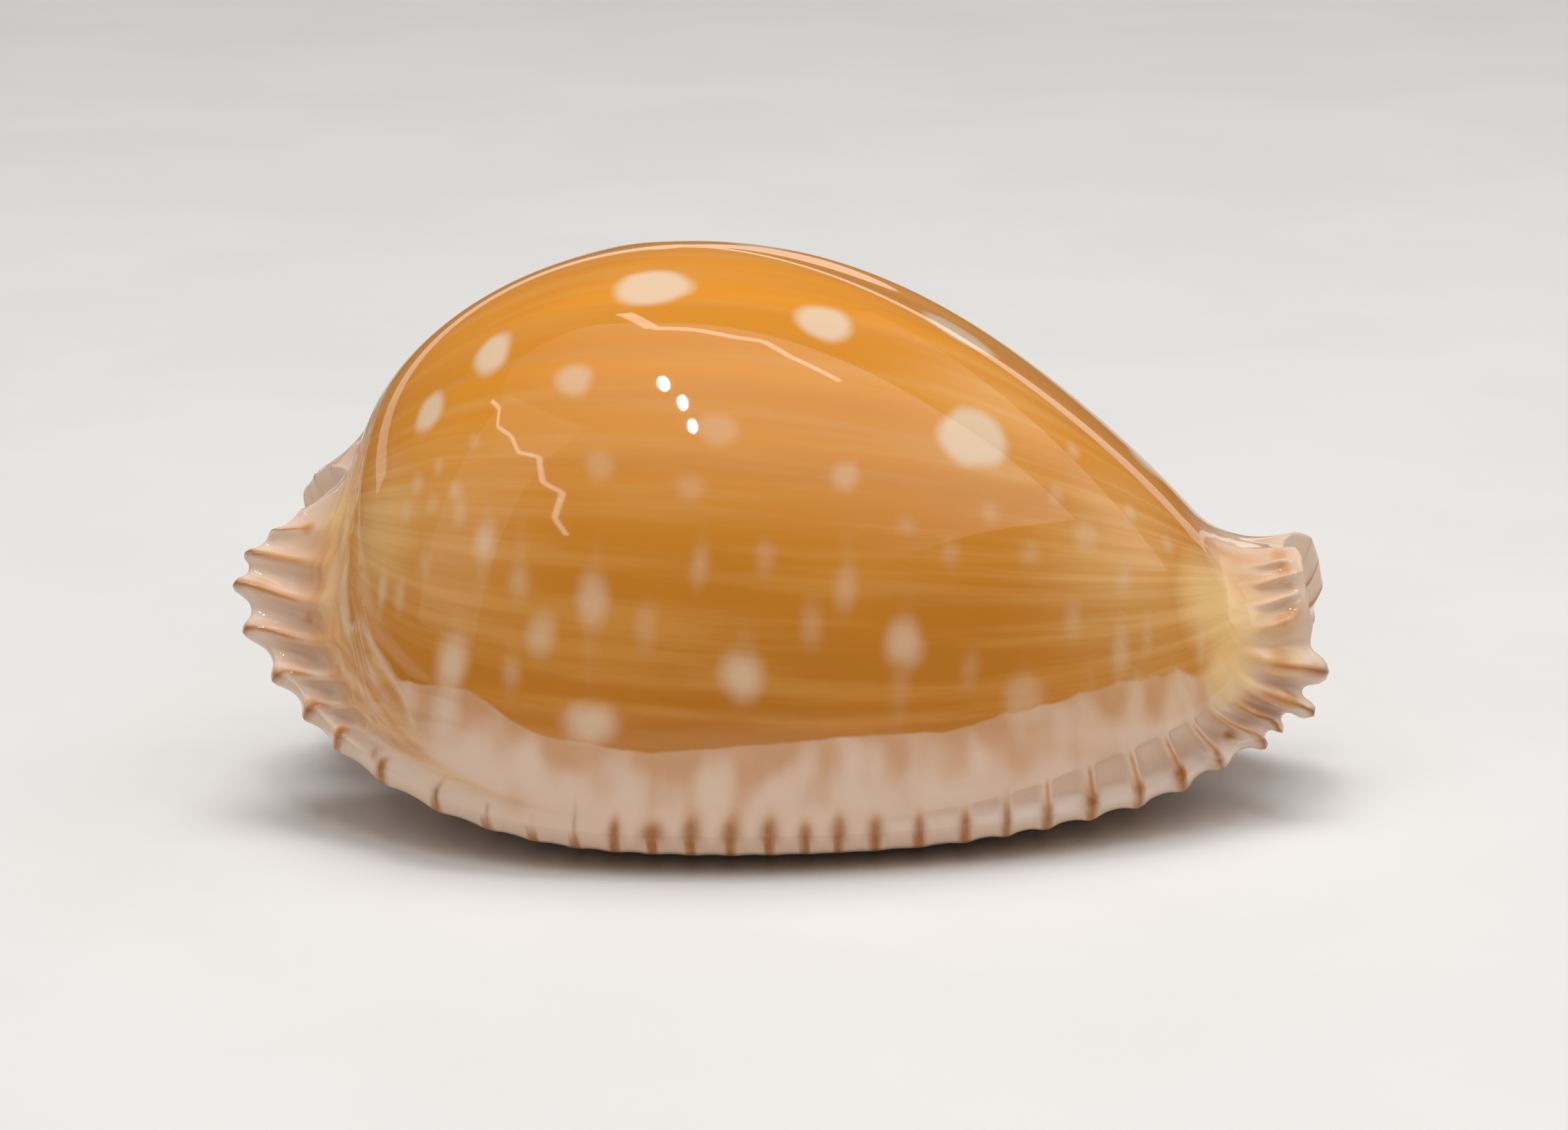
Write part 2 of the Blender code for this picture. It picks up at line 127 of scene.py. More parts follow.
# Lip of the aperture: rib, x, y, z, belly (how far the base bulges out between margin and lip)
LIP = (
    (0, 27.0, 0.2, 12.5, 0.4), (1, 27.6, 1.0, 12.3, 0.4), (2, 28.3, 1.6, 11.7, 0.4),
    (3, 28.8, 2.0, 10.8, 0.4), (4, 28.9, 2.1, 9.6, 0.4), (5, 28.6, 2.1, 8.1, 0.45),
    (6, 27.9, 2.0, 6.6, 0.55), (7, 26.8, 1.8, 5.3, 0.75), (9, 24.0, 1.3, 3.6, 1.1),
    (11, 19.7, 0.9, 2.5, 1.4), (14, 13.0, 0.7, 1.9, 1.6), (18, 4.6, 0.5, 1.5, 2.0),
    (22, -3.7, 0.5, 1.45, 2.05), (26, -12.0, 1.0, 1.9, 1.9), (29, -18.8, 1.8, 3.4, 1.65),
    (31, -22.6, 2.4, 5.3, 1.4), (33, -25.2, 2.9, 7.9, 1.0), (35, -26.2, 3.1, 11.0, 0.6),
    (37, -25.5, 2.8, 13.8, 0.45), (38, -24.8, 2.5, 14.8, 0.4), (39, -24.0, 2.0, 15.5, 0.4),
    (40, -23.5, 1.2, 15.6, 0.4), (41, -24.1, 0.5, 15.4, 0.4), (42, -25.1, 0.0, 14.6, 0.4),
    (43, -26.3, -0.4, 13.6, 0.35), (45, -27.5, -0.8, 10.6, 0.4), (47, -26.0, -0.7, 7.4, 0.8),
    (49, -23.0, -0.6, 5.0, 1.4), (51, -19.0, -1.0, 3.4, 1.6), (53, -14.4, -1.6, 2.2, 1.75),
    (56, -7.9, -2.0, 1.6, 2.0), (60, 0.9, -2.1, 1.45, 2.0), (64, 9.8, -2.0, 1.6, 1.75),
    (67, 16.9, -1.8, 2.0, 1.25), (69, 21.7, -1.7, 2.7, 1.0), (71, 25.4, -1.7, 4.0, 0.7),
    (73, 27.1, -1.8, 5.9, 0.55), (75, 27.8, -1.9, 8.8, 0.5), (77, 27.7, -1.6, 11.0, 0.4),
    (79, 27.3, -0.8, 12.3, 0.4),
)

# How far each rib end stands out of the margin as a point, by rib number
SPINES = {
    68: 0.15, 69: 0.25, 70: 0.55, 71: 0.45, 72: 0.15, 73: 1.15, 74: 0.95,
    8: 0.2, 9: 0.25, 10: 0.2, 30: 0.2, 31: 0.3, 32: 0.4, 33: 0.4, 34: 0.3,
    44: 0.2, 45: 0.55, 46: 0.5, 47: 0.5, 48: 0.3, 49: 0.2, 50: 0.15, 51: 0.1,
}
SPINE_PLAIN = 0.04
SPINE_SHARPNESS = 1.5

# Strength of the ribs by rib number: on the flange and round the margin, and at the lip
STRENGTH = (
    (0, 0.0, 0.1), (2, 0.3, 0.15), (4, 0.6, 0.2), (7, 1.0, 0.6), (10, 0.8, 1.0), (14, 0.4, 1.0),
    (20, 0.2, 1.0), (27, 0.35, 1.0), (32, 0.9, 0.9), (34, 0.8, 0.5), (36, 0.35, 0.2),
    (38, 0.15, 0.15), (40, 0.1, 0.1), (42, 0.25, 0.15), (45, 1.0, 0.3), (48, 0.8, 0.9),
    (52, 0.25, 1.0), (56, 0.1, 1.0), (62, 0.12, 1.0), (67, 0.5, 1.0), (71, 0.9, 0.9),
    (73, 1.25, 0.6), (74, 1.25, 0.4), (75, 0.95, 0.3), (77, 0.8, 0.2), (79, 0.3, 0.1),
)

# Stations along a meridian, which starts from the crown at 0
CREASE_T, MARGIN_T, LIP_T, THROAT_T = range(1, 5)
CEILING_T = 6


def closed_spline(table, where, period=RIB_COUNT):
    """Smooth closed curve through the rows of a table, read at the given places in its period."""
    data = np.array(table, dtype=float)
    knots = data[:, 0]
    values = data[:, 1:]
    count = len(knots)
    gap = np.diff(np.append(knots, knots[0] + period))
    rise = np.roll(values, -1, axis=0) - values
    system = np.zeros((count, count))
    right = np.zeros_like(values)
    for i in range(count):
        before = i - 1
        after = (i + 1) % count
        system[i, before] += 1.0 / gap[before]
        system[i, i] += 2.0 / gap[before] + 2.0 / gap[i]
        system[i, after] += 1.0 / gap[i]
        right[i] = 3.0 * (rise[before] / gap[before] ** 2 + rise[i] / gap[i] ** 2)
    slope = np.linalg.solve(system, right)
    where = np.mod(where, period)
    index = np.searchsorted(knots, where, side="right") - 1
    width = gap[index]
    u = (where - knots[index]) / width
    after = (index + 1) % count
    u = u[..., None]
    width = width[..., None]
    return (
        (1 + 2 * u) * (1 - u) ** 2 * values[index]
        + u * (1 - u) ** 2 * width * slope[index]
        + u ** 2 * (3 - 2 * u) * values[after]
        + u ** 2 * (u - 1) * width * slope[after]
    )


def unit(vector):
    """The same directions, each of length one."""
    return vector / np.maximum(np.linalg.norm(vector, axis=-1, keepdims=True), 1e-9)


def bezier(start, first, second, end, u):
    """A cubic curve with its two handles."""
    u = u[..., None]
    return (
        (1 - u) ** 3 * start
        + 3 * (1 - u) ** 2 * u * first
        + 3 * (1 - u) * u ** 2 * second
        + u ** 3 * end
    )


def smooth_step(low, high, value):
    """0 below low, 1 above high, smooth between."""
    u = np.clip((value - low) / (high - low), 0.0, 1.0)
    return u * u * (3 - 2 * u)


def rib_crest(rib, sharpness):
    """1 on every rib and 0 half-way between two."""
    return (0.5 + 0.5 * np.cos(2 * math.pi * rib)) ** sharpness


def spine_length(rib):
    """How far the margin stands out at each rib number."""
    numbers = range(RIB_COUNT + 1)
    lengths = [SPINES.get(number, SPINE_PLAIN) for number in numbers]
    return np.interp(np.mod(rib, RIB_COUNT), numbers, lengths)


def egg_table():
    """The egg's rows all the way round."""
    far_side = [(360 - row[0],) + row[1:] for row in EGG[-2:0:-1]]
    return EGG + tuple(far_side)


class Meridians:
    """The named points of the meridians at the given rib numbers."""

    def __init__(self, rib):
        azimuth, self.share = np.moveaxis(crease_curve(rib), -1, 0)
        turn = np.radians(azimuth)
        self.away = np.stack([np.cos(turn), np.sin(turn), np.zeros_like(turn)], axis=-1)
        egg = closed_spline(egg_table(), azimuth, period=360.0)
        reach, height, fall, self.crown_full, self.foot_full = np.moveaxis(egg[..., None], -2, 0)
        self.foot = CROWN + self.away * reach
        self.foot[..., 2] = height[..., 0]
        self.corner = CROWN + self.away * (reach - (CROWN[2] - height) / np.tan(np.radians(fall)))
        self.crease = egg_point(self, self.share)
        self.dome_end = unit(self.crease - egg_point(self, self.share - 0.01))
        lip = closed_spline(LIP, rib)
        self.lip = lip[..., :3]
        slim = rib_crest(rib, SPINE_SHARPNESS) * np.clip(spine_length(rib), 0.0, 1.0)
        self.belly = lip[..., 3:4] * (1 - 0.6 * slim[..., None])
        margin = closed_spline(MARGIN, rib)
        self.out = unit(margin - (self.crease + self.lip) / 2)
        spine = spine_length(rib) * rib_crest(rib, SPINE_SHARPNESS)
        self.margin = margin + self.out * spine[..., None]
        # the lip turns in towards the core
        core_x = np.clip(self.lip[..., 0], -CORE_HALF_LENGTH, CORE_HALF_LENGTH)
        core_z = CORE_HEIGHT - core_x * CORE_SLOPE
        core = np.stack([core_x, self.lip[..., 1], core_z], axis=-1)
        self.inward = unit(core - self.lip)


def crease_curve(rib):
    """Azimuth and share of the egg's meridian where the crease lies."""
    table = np.array(CREASE)
    table[:, 1] -= table[:, 0] * 360.0 / RIB_COUNT
    curve = closed_spline(table, rib)
    curve[..., 0] += rib * 360.0 / RIB_COUNT
    return curve


def egg_point(lines, share):
    """A point of the egg, from the crown at 0 to the egg's foot at 1."""
    first = CROWN + (lines.corner - CROWN) * lines.crown_full
    second = lines.foot + (lines.corner - lines.foot) * lines.foot_full
    return bezier(CROWN, first, second, lines.foot, share)


def dome_point(lines, u):
    """From the crown, where the dome is level, down to the crease."""
    return egg_point(lines, lines.share * u)


# Length of a flange below which it goes straight down, and above which it flares out; the handles
# of its curve in shares of its length; and how square the base's belly is
FLARE_LENGTHS = (2.0, 5.0)
CREASE_HANDLE = 0.38
MARGIN_HANDLE = 0.36
BELLY_SQUARENESS = 2.6


def flange_point(lines, u):
    """From the crease to the margin: straight down at the sides, flared out at the two ends."""
    chord = lines.margin - lines.crease
    length = np.linalg.norm(chord, axis=-1, keepdims=True)
    down = np.zeros_like(chord)
    down[..., 2] = -1.0
    flare = smooth_step(*FLARE_LENGTHS, length)
    leave = unit(lines.dome_end + chord / length * flare * (0.95 + 0.3 * lines.away[..., :1]))
    arrive = unit(down * (1 - flare) + lines.out * flare)
    first = lines.crease + leave * length * CREASE_HANDLE
    second = lines.margin - arrive * length * MARGIN_HANDLE
    return bezier(lines.crease, first, second, lines.margin, u)


def base_point(lines, u):
    """From the margin under the base, or round the rim of a notch, to the lip."""
    round_out = np.sqrt(np.maximum(1 - np.abs(2 * u - 1) ** BELLY_SQUARENESS, 0.0))[..., None]
    straight = lines.margin + (lines.lip - lines.margin) * u[..., None]
    return straight - lines.inward * lines.belly * round_out


def throat_point(lines, u):
    """From the lip in through the slit."""
    return lines.lip + lines.inward * THROAT_DEPTH * u[..., None]


def cavity_wall(point):
    """The inside of the dome that matches a point of its outside."""
    return CAVITY_CENTRE + (point - CAVITY_CENTRE) * WALL_SCALE


def floor_point(lines, u):
    """From the throat over the cavity's floor to the foot of its wall."""
    start = throat_point(lines, np.ones_like(u))
    end = cavity_wall(lines.crease)
    return start + (end - start) * u[..., None]


def smooth_surface(rib, t):
    """The surface without its ribs, at rib numbers and stations along the meridian."""
    lines = Meridians(rib)
    pieces = (
        dome_point(lines, np.clip(t, 0, 1)),
        flange_point(lines, np.clip(t - CREASE_T, 0, 1)),
        base_point(lines, np.clip(t - MARGIN_T, 0, 1)),
        throat_point(lines, np.clip(t - LIP_T, 0, 1)),
        floor_point(lines, np.clip(t - THROAT_T, 0, 1)),
        cavity_wall(dome_point(lines, np.clip(CEILING_T - t, 0, 1))),
    )
    which = np.clip(np.floor(t).astype(int), 0, len(pieces) - 1)
    return np.choose(which[..., None], pieces)


# Dished cells between the ribs of the flange: rib, depth, station of the upper edge
CELLS = (
    (0, 0.0, 1.1), (3, 0.0, 1.1), (6, 0.18, 1.05), (10, 0.2, 1.05), (14, 0.05, 1.3), (18, 0.0, 1.4),
    (28, 0.0, 1.4), (31, 0.1, 1.2), (34, 0.12, 1.25), (37, 0.0, 1.2), (43, 0.0, 1.2),
    (45, 0.15, 1.3), (48, 0.1, 1.3), (51, 0.0, 1.4), (61, 0.0, 1.5), (63, 0.08, 1.42),
    (65, 0.22, 1.32), (67, 0.3, 1.14), (69, 0.32, 1.02), (70.5, 0.2, 1.0), (72, 0.06, 1.02),
    (73, 0.0, 1.05), (75, 0.0, 1.1),
)

# Shape of the ribs by rib number: 0 for a thin crest between hollows, 1 for a round ridge
ROUNDNESS = (
    (0, 1.0), (5, 1.0), (9, 0.5), (20, 0.7), (30, 0.5), (36, 0.8), (41, 0.8), (44, 0.1), (49, 0.1),
    (54, 0.7), (62, 0.7), (68, 0.3), (72, 0.5), (73, 1.0), (76, 1.0),
)

# How far the ribs of the border stand beside their even places, in rib numbers
DRIFT = (
    (0, 0.0), (25, 0.0), (40, 0.0), (45, 0.0), (48, 0.0), (49.5, 0.05), (51, 0.4), (53, 0.58),
    (55.5, 0.57), (57.4, 0.44), (59.3, 0.31), (60.3, 0.15), (61.2, -0.06), (62.3, -0.12),
    (64, 0.05), (66, 0.0), (68, 0.0), (72, 0.0), (76, 0.0),
)

# Brown of the ribs: rib, half-width of the thin line, of the streak at the margin, on the base,
# and the station where the line starts
INK = (
    (0, 0.0, 0.0, 0.0, 1.1), (3, 0.05, 0.0, 0.1, 1.3), (6, 0.12, 0.15, 0.25, 1.2),
    (10, 0.08, 0.25, 0.3, 1.1), (16, 0.0, 0.26, 0.3, 1.2), (28, 0.0, 0.26, 0.3, 1.2),
    (32, 0.12, 0.2, 0.28, 1.3), (36, 0.12, 0.1, 0.1, 1.3), (40, 0.0, 0.0, 0.0, 1.3),
    (43, 0.08, 0.1, 0.1, 1.5), (44, 0.2, 0.2, 0.15, 1.36), (46, 0.18, 0.2, 0.2, 1.45),
    (48, 0.14, 0.25, 0.25, 1.55), (51, 0.05, 0.12, 0.28, 1.6), (54, 0.0, 0.1, 0.3, 1.4),
    (55, 0.0, 0.34, 0.3, 1.4), (63, 0.0, 0.32, 0.3, 1.3), (66, 0.04, 0.34, 0.3, 1.15),
    (69, 0.06, 0.34, 0.3, 1.05), (72, 0.1, 0.2, 0.25, 1.2), (73, 0.2, 0.2, 0.15, 1.3),
    (74, 0.24, 0.2, 0.15, 1.3), (75, 0.0, 0.05, 0.05, 1.4), (76, 0.0, 0.05, 0.05, 1.4),
    (78, 0.0, 0.05, 0.0, 1.4),
)

# Where the orange ends above the pale border: rib, height of the line over the margin, how soft
# the line is, and how white the thick rim is
BORDER = (
    (0, 6.3, 1.4, 0.3), (3, 6.3, 1.2, 0.6), (6, 6.4, 0.5, 0.9), (10, 5.9, 0.15, 0.6),
    (14, 5.3, 0.12, 0.2), (19, 4.9, 0.12, 0.0), (23, 5.1, 0.12, 0.0), (28, 5.6, 0.12, 0.2),
    (32, 6.7, 0.3, 0.5), (36, 6.8, 0.8, 0.4), (40, 6.8, 1.0, 0.3), (44, 7.2, 0.8, 0.5),
    (48, 6.9, 0.3, 0.6), (49.25, 6.74, 0.12, 0.5), (50.8, 6.73, 0.12, 0.4), (51.6, 6.9, 0.12, 0.3),
    (52.25, 6.66, 0.12, 0.3), (52.8, 5.95, 0.12, 0.2), (53.9, 5.1, 0.12, 0.0), (55, 4.9, 0.12, 0.0),
    (56, 4.6, 0.12, 0.0), (57.75, 4.83, 0.12, 0.0), (60, 5.18, 0.12, 0.0), (62.5, 5.48, 0.12, 0.2),
    (63.9, 5.5, 0.12, 0.4), (65, 6.0, 0.12, 0.8), (66, 6.23, 0.12, 1.0), (67.25, 6.7, 0.14, 1.0),
    (68.5, 6.95, 0.16, 1.0), (69.8, 6.6, 0.3, 1.0), (72, 6.4, 0.6, 1.0), (74, 5.8, 1.3, 0.7),
    (77, 5.6, 1.6, 0.6),
)

# Cream spots of the dome: place along the shell, degrees round it from the top (+ on the side of
# the outer lip), length along the shell, breadth, strength
SPOTS = (
    (-6.9, 20, 4.1, 3.3, 1.0), (2.4, 27, 3.3, 2.6, 1.0), (9.7, 9, 4.5, 3.4, 1.0),
    (-15.4, 33, 2.3, 3.0, 1.0), (-11.0, 44, 2.1, 1.9, 0.6), (-18.9, 45, 2.0, 2.6, 1.0),
    (10.3, 48, 3.9, 3.8, 1.0), (-3.3, 55, 2.3, 1.8, 0.35), (-9.5, 64, 1.6, 1.7, 0.3),
    (-4.8, 67, 1.6, 1.5, 0.3), (3.3, 62, 1.6, 1.7, 0.45), (15.6, 40, 0.9, 1.1, 0.5),
    (18.7, 57, 0.8, 1.0, 0.5), (11.1, 66, 0.9, 1.0, 0.35), (14.7, 58, 0.9, 1.2, 0.35),
    (6.7, 72, 1.1, 1.0, 0.3), (16.3, 68, 1.6, 1.9, 0.35), (13.3, 75, 1.1, 1.3, 0.3),
    (-15.8, 82, 1.2, 2.0, 0.75), (-17.0, 75, 0.7, 1.2, 0.5), (-21.3, 98, 0.6, 1.8, 0.8),
    (-20.3, 97, 0.6, 1.2, 0.7), (-4.3, 82, 1.0, 2.1, 0.4), (-0.9, 80, 1.0, 1.8, 0.3),
    (-9.9, 90, 1.6, 3.1, 0.6), (-13.8, 88, 1.0, 1.9, 0.5), (3.4, 85, 1.2, 2.7, 0.4),
    (-7.2, 94, 1.1, 2.5, 0.3), (1.6, 92, 1.1, 2.5, 0.3), (-12.6, 98, 1.6, 2.1, 0.6),
    (-14.3, 105, 0.9, 1.6, 0.5), (-17.4, 106, 1.8, 3.1, 0.9), (-2.1, 101, 2.3, 2.5, 0.8),
    (6.6, 95, 2.0, 2.6, 0.7), (-10.0, 111, 2.9, 2.1, 0.9), (12.8, 106, 2.3, 2.6, 0.42),
    (-3.7, 118, 2.5, 2.1, 0.5), (4.6, 114, 2.5, 2.1, 0.5), (-19.4, 68, 0.7, 0.9, 0.6),
    (-18.3, 64, 0.6, 0.8, 0.5), (-17.2, 70, 0.7, 0.8, 0.6), (-18.6, 74, 0.6, 0.7, 0.5),
    (-16.3, 58, 0.6, 0.7, 0.4), (-19.9, 76, 0.6, 0.8, 0.5), (-18.9, 88, 0.6, 1.0, 0.5),
    (21.0, 66, 0.7, 0.9, 0.5), (9.0, 76, 0.9, 1.3, 0.3), (18.3, 80, 0.9, 1.9, 0.35),
    (15.6, 92, 0.9, 1.8, 0.35), (10.0, 100, 0.9, 1.7, 0.3), (20.1, 4, 2.5, 1.6, 1.0),
    (-1.5, -8, 3.8, 2.8, 1.0), (-13.5, -12, 3.0, 2.6, 1.0), (-19.5, -28, 2.2, 2.6, 0.9),
    (-8.5, -38, 3.6, 3.2, 1.0), (3.5, -36, 3.2, 2.8, 0.9), (13.2, -30, 2.8, 2.6, 1.0),
    (-15.5, -60, 2.6, 2.4, 0.9), (-2.0, -64, 2.4, 2.2, 0.7), (8.6, -62, 3.2, 3.0, 0.9),
    (17.5, -58, 1.6, 1.6, 0.7), (-20.2, -82, 1.4, 1.8, 0.7), (-9.6, -84, 1.8, 2.4, 0.7),
    (3.0, -88, 2.2, 2.6, 0.7), (13.6, -86, 1.6, 2.2, 0.6), (-15.8, -104, 2.0, 2.8, 0.8),
    (-4.6, -106, 2.4, 2.4, 0.7), (7.2, -108, 2.2, 2.6, 0.7), (15.4, -104, 1.6, 2.2, 0.6),
    (18.2, 99, 0.9, 2.8, 0.45), (22.7, 103, 0.6, 2.2, 0.4), (19.7, 98, 0.5, 1.8, 0.35),
    (21.0, 113, 0.9, 2.8, 0.55), (19.1, 111, 0.9, 3.0, 0.55), (16.4, 112, 1.0, 2.6, 0.45),
)

# Orange-brown patches of the flange: rib, station, radius, strength
PATCHES = (
    (77.5, 1.6, 3.2, 0.26), (75.0, 1.75, 2.6, 0.26), (72.5, 1.7, 2.4, 0.2), (43.5, 1.6, 2.6, 0.2),
    (46.0, 1.6, 2.8, 0.2), (48.5, 1.6, 2.2, 0.18), (35.0, 1.6, 2.8, 0.2), (3.5, 1.6, 3.0, 0.22),
    (0.5, 1.6, 2.6, 0.2), (78.5, 1.8, 0.9, 0.6), (77.4, 1.8, 0.8, 0.7), (76.4, 1.82, 0.7, 0.45),
    (75.2, 1.85, 0.8, 0.7), (75.1, 1.68, 0.8, 0.6), (79.4, 1.75, 0.9, 0.45), (0.8, 1.2, 0.8, 0.3),
    (74.2, 1.6, 1.1, 0.55), (74.0, 1.9, 0.8, 0.35), (73.2, 1.8, 0.8, 0.7), (73.0, 2.1, 0.8, 0.5),
    (72.0, 1.75, 0.6, 0.6), (70.62, 1.8, 0.55, 0.95), (69.0, 1.88, 0.6, 0.8),
    (69.0, 1.55, 0.45, 0.35), (68.0, 1.85, 0.55, 0.7), (67.0, 1.85, 0.5, 0.6),
    (66.0, 1.85, 0.5, 0.4), (49.9, 1.85, 0.5, 0.6), (47.85, 1.95, 0.7, 0.75),
    (48.95, 1.9, 0.6, 0.85), (45.4, 1.5, 0.6, 0.8), (43.0, 1.62, 0.75, 0.75),
    (46.9, 1.98, 0.7, 0.6), (44.9, 1.85, 0.9, 0.3), (37.5, 1.8, 0.9, 0.5), (35.5, 1.8, 0.9, 0.6),
    (33.2, 1.8, 0.8, 0.6), (2.6, 1.85, 0.9, 0.6), (4.5, 1.75, 0.9, 0.6), (6.4, 1.8, 0.8, 0.6),
    (8.5, 1.85, 0.7, 0.6),
)

# Yellow cream where the growth bands run together at the two ends: centre, radius and strength
YELLOW = (
    (23.6, -6.5, 12.3, 6.0, 1.0),
    (23.6, 6.5, 12.3, 6.0, 1.0),
    (24.8, -8.0, 8.8, 4.0, 1.0),
    (27.5, -5.5, 9.5, 4.0, 0.55),
    (20.0, -11.0, 16.0, 13.0, 0.55),
    (20.0, 11.0, 16.0, 13.0, 0.55),
    (-21.5, -9.5, 17.0, 8.0, 0.65),
    (-18.0, -11.0, 17.0, 12.0, 0.4),
    (12.0, -9.0, 23.0, 11.0, 0.35),
    (-24.6, -5.0, 17.5, 3.5, 0.9),
    (-24.0, 5.5, 15.5, 4.5, 0.9),
)

# Folded callus at the posterior end, mirrored on the other side: rib, station where the dome's
# glaze ends over it, and how strong it is
CALLUS = (
    (30, 1.5, 0.0), (39, 0.95, 0.0), (41.4, 0.91, 0.5), (43.1, 0.9, 1.0), (44, 0.94, 1.0),
    (45.1, 1.06, 1.0), (46.25, 0.99, 1.0), (48.7, 0.93, 1.0), (50.1, 0.96, 0.9), (51.2, 1.05, 0.7),
    (52.5, 1.2, 0.45), (54.5, 1.4, 0.15), (56, 1.5, 0.0),
)

# The long axis that the growth bands and the spots are laid round, and the length that one degree
# round it comes to on the dome
AXIS_HEIGHT = 14.3
AXIS_SLOPE = -0.076
DEGREE_LENGTH = 0.3

# What every thin brown line is wider than its table says, and the height of the brown flames
LINE_EXTRA = 0.06
FLAME_HEIGHT = 1.4

# How far behind its own plane a spot still reaches, how low over the margin one may lie, and the
# value far from all spots
SPOT_REACH = 5.0
SPOT_LOWEST = 0.3
NO_SPOT = -5.0

# Rough length of a meridian on the dome and on the flange at the two ends
DOME_RUN = 30.0
FLANGE_RUN = 4.5

# Ribs between which the two long spines of the front end stand on broad ridges, with soft ends
BROAD_START = (72.3, 72.7)
BROAD_END = (74.4, 74.8)

# Weights that round off the crease, by length along the meridian
CREASE_SOFTENING = ((-1.1, 0.15), (-0.6, 0.2), (0.0, 0.3), (0.6, 0.2), (1.1, 0.15))

# Height and spacing of the callus's folds, and the step that the surface's slope is read over
FOLD_HEIGHT = 0.07
FOLD_SPACING = 1.15
SLOPE_STEP = 0.004

# Depth of the deepest cell in metres, and the depth in millimetres at which its colour is full
CELL_DEPTH = 0.0003
FULL_CELL = 0.25

# The table in metres: how far it reaches in front of the shell, and from where to where it turns
# grey, all out of the picture
TABLE_FRONT = 0.3
TABLE_GREYS = (-0.075, -0.13)

# The middle of the shell, for the lights, and the point that the camera faces, in metres
MIDDLE = (0.0, 0.0, 0.015)
LOOK_AT = np.array([-0.000025, -0.0001, 0.01284])

# Light panels: name, place in metres, width, depth, share of the soft light's power
LIGHT_HEIGHT = 0.5
PANELS = (
    ("ceiling_panel", (0.1, -0.46, LIGHT_HEIGHT), 1.12, 0.95, 1.0),
    ("side_panel", (0.62, 0.1, LIGHT_HEIGHT), 0.9, 0.5, 0.3),
    ("left_panel", (-0.66, -0.45, LIGHT_HEIGHT), 0.55, 0.9, 0.26),
    ("overhead_softbox", (0.0, 0.12, 0.6), 0.4, 0.3, 0.75),
    ("front_fill", (0.1, -0.75, 0.2), 0.6, 0.3, 0.05),
    ("back_strip", (0.0, 0.6, 0.16), 1.6, 0.07, 0.12),
)
FADING_PANELS = ("ceiling_panel", "side_panel")
FADING_PANEL_TURN = math.radians(-12)
UNMIRRORED_PANELS = ("overhead_softbox", "front_fill")

# Three small lamps and the panel's bright edges, which are two jagged lines: how far below it they
# hang, their sizes in metres, their shares of the power, and their places in shares of its height
LAMP_DROP = 0.03
LAMP_WIDTH = 0.013
LAMP_DEPTH = 0.05
LAMP_SHARE = 0.035
EDGE_DROP = 0.02
EDGE_WIDTH = 0.014
EDGE_SHARE = 0.08
LAMPS = ((-0.13, -0.33), (-0.09, -0.46), (-0.07, -0.62))
PANEL_EDGES = (
    ((-0.17, 0.22), (-0.13, 0.07), (-0.05, 0.05), (0.06, 0.0), (0.14, 0.0), (0.22, -0.08),
     (0.38, -0.16)),
    ((-0.82, 0.0), (-0.75, -0.16), (-0.78, -0.32), (-0.68, -0.5), (-0.66, -0.66), (-0.55, -0.76),
     (-0.6, -0.98), (-0.56, -1.1), (-0.68, -1.36), (-0.7, -1.6)),
)


def rib_phase(rib):
    """Rib number counted on the ribs as they stand."""
    return rib - closed_spline(DRIFT, rib)[..., 0]


def rib_gap(rib):
    """Distance to the nearest rib, in rib numbers."""
    phase = rib_phase(rib)
    return np.abs(phase - np.rint(phase))


def rib_profile(rib):
    """Height across the ribs, from 1 on a rib to 0 half-way between two."""
    phase = rib_phase(rib)
    thin = 1 - np.sqrt(np.sin(math.pi * phase) ** 2 + 0.03)
    roundness = closed_spline(ROUNDNESS, rib)[..., 0]
    broad = smooth_step(*BROAD_START, rib) * (1 - smooth_step(*BROAD_END, rib))
    ridge = rib_crest(phase, 2.0) + (rib_crest(phase, 1.0) - rib_crest(phase, 2.0)) * broad
    return thin + (ridge - thin) * roundness


def rib_height(rib, t, sizes):
    """Height of the ribs over the smooth surface, lower than 0 between them."""
    flank, under = np.moveaxis(closed_spline(STRENGTH, rib), -1, 0)
    start = smooth_step(CREASE_T + 0.1, MARGIN_T, t)
    turn = smooth_step(MARGIN_T + 0.3, MARGIN_T + 0.85, t)
    tooth = smooth_step(MARGIN_T + 0.8, LIP_T, t)
    fade = 1 - smooth_step(LIP_T + 0.05, LIP_T + 0.6, t)
    base = sizes.rib_height / MM
    height = base + (sizes.tooth_height / MM - base) * tooth
    strength = flank + (under - flank) * turn
    # low ribs half-way down the collar at the front end, and spines that taper to their tips
    collar = np.where(rib > 40, smooth_step(74.2, 75.0, rib), 1 - smooth_step(3.0, 6.0, rib))
    window = smooth_step(1.2, 1.5, t) * (1 - smooth_step(1.72, 1.97, t))
    strength = strength * (1 - collar * (1 - window) * (1 - turn))
    tip = np.clip((spine_length(rib) - 0.4) / 0.6, 0.0, 1.0)
    strength = strength * (1 - 0.5 * tip * (1 - smooth_step(0.0, 0.3, np.abs(t - MARGIN_T))))
    return height * strength * start * fade * (rib_profile(rib) - RIB_SINK)


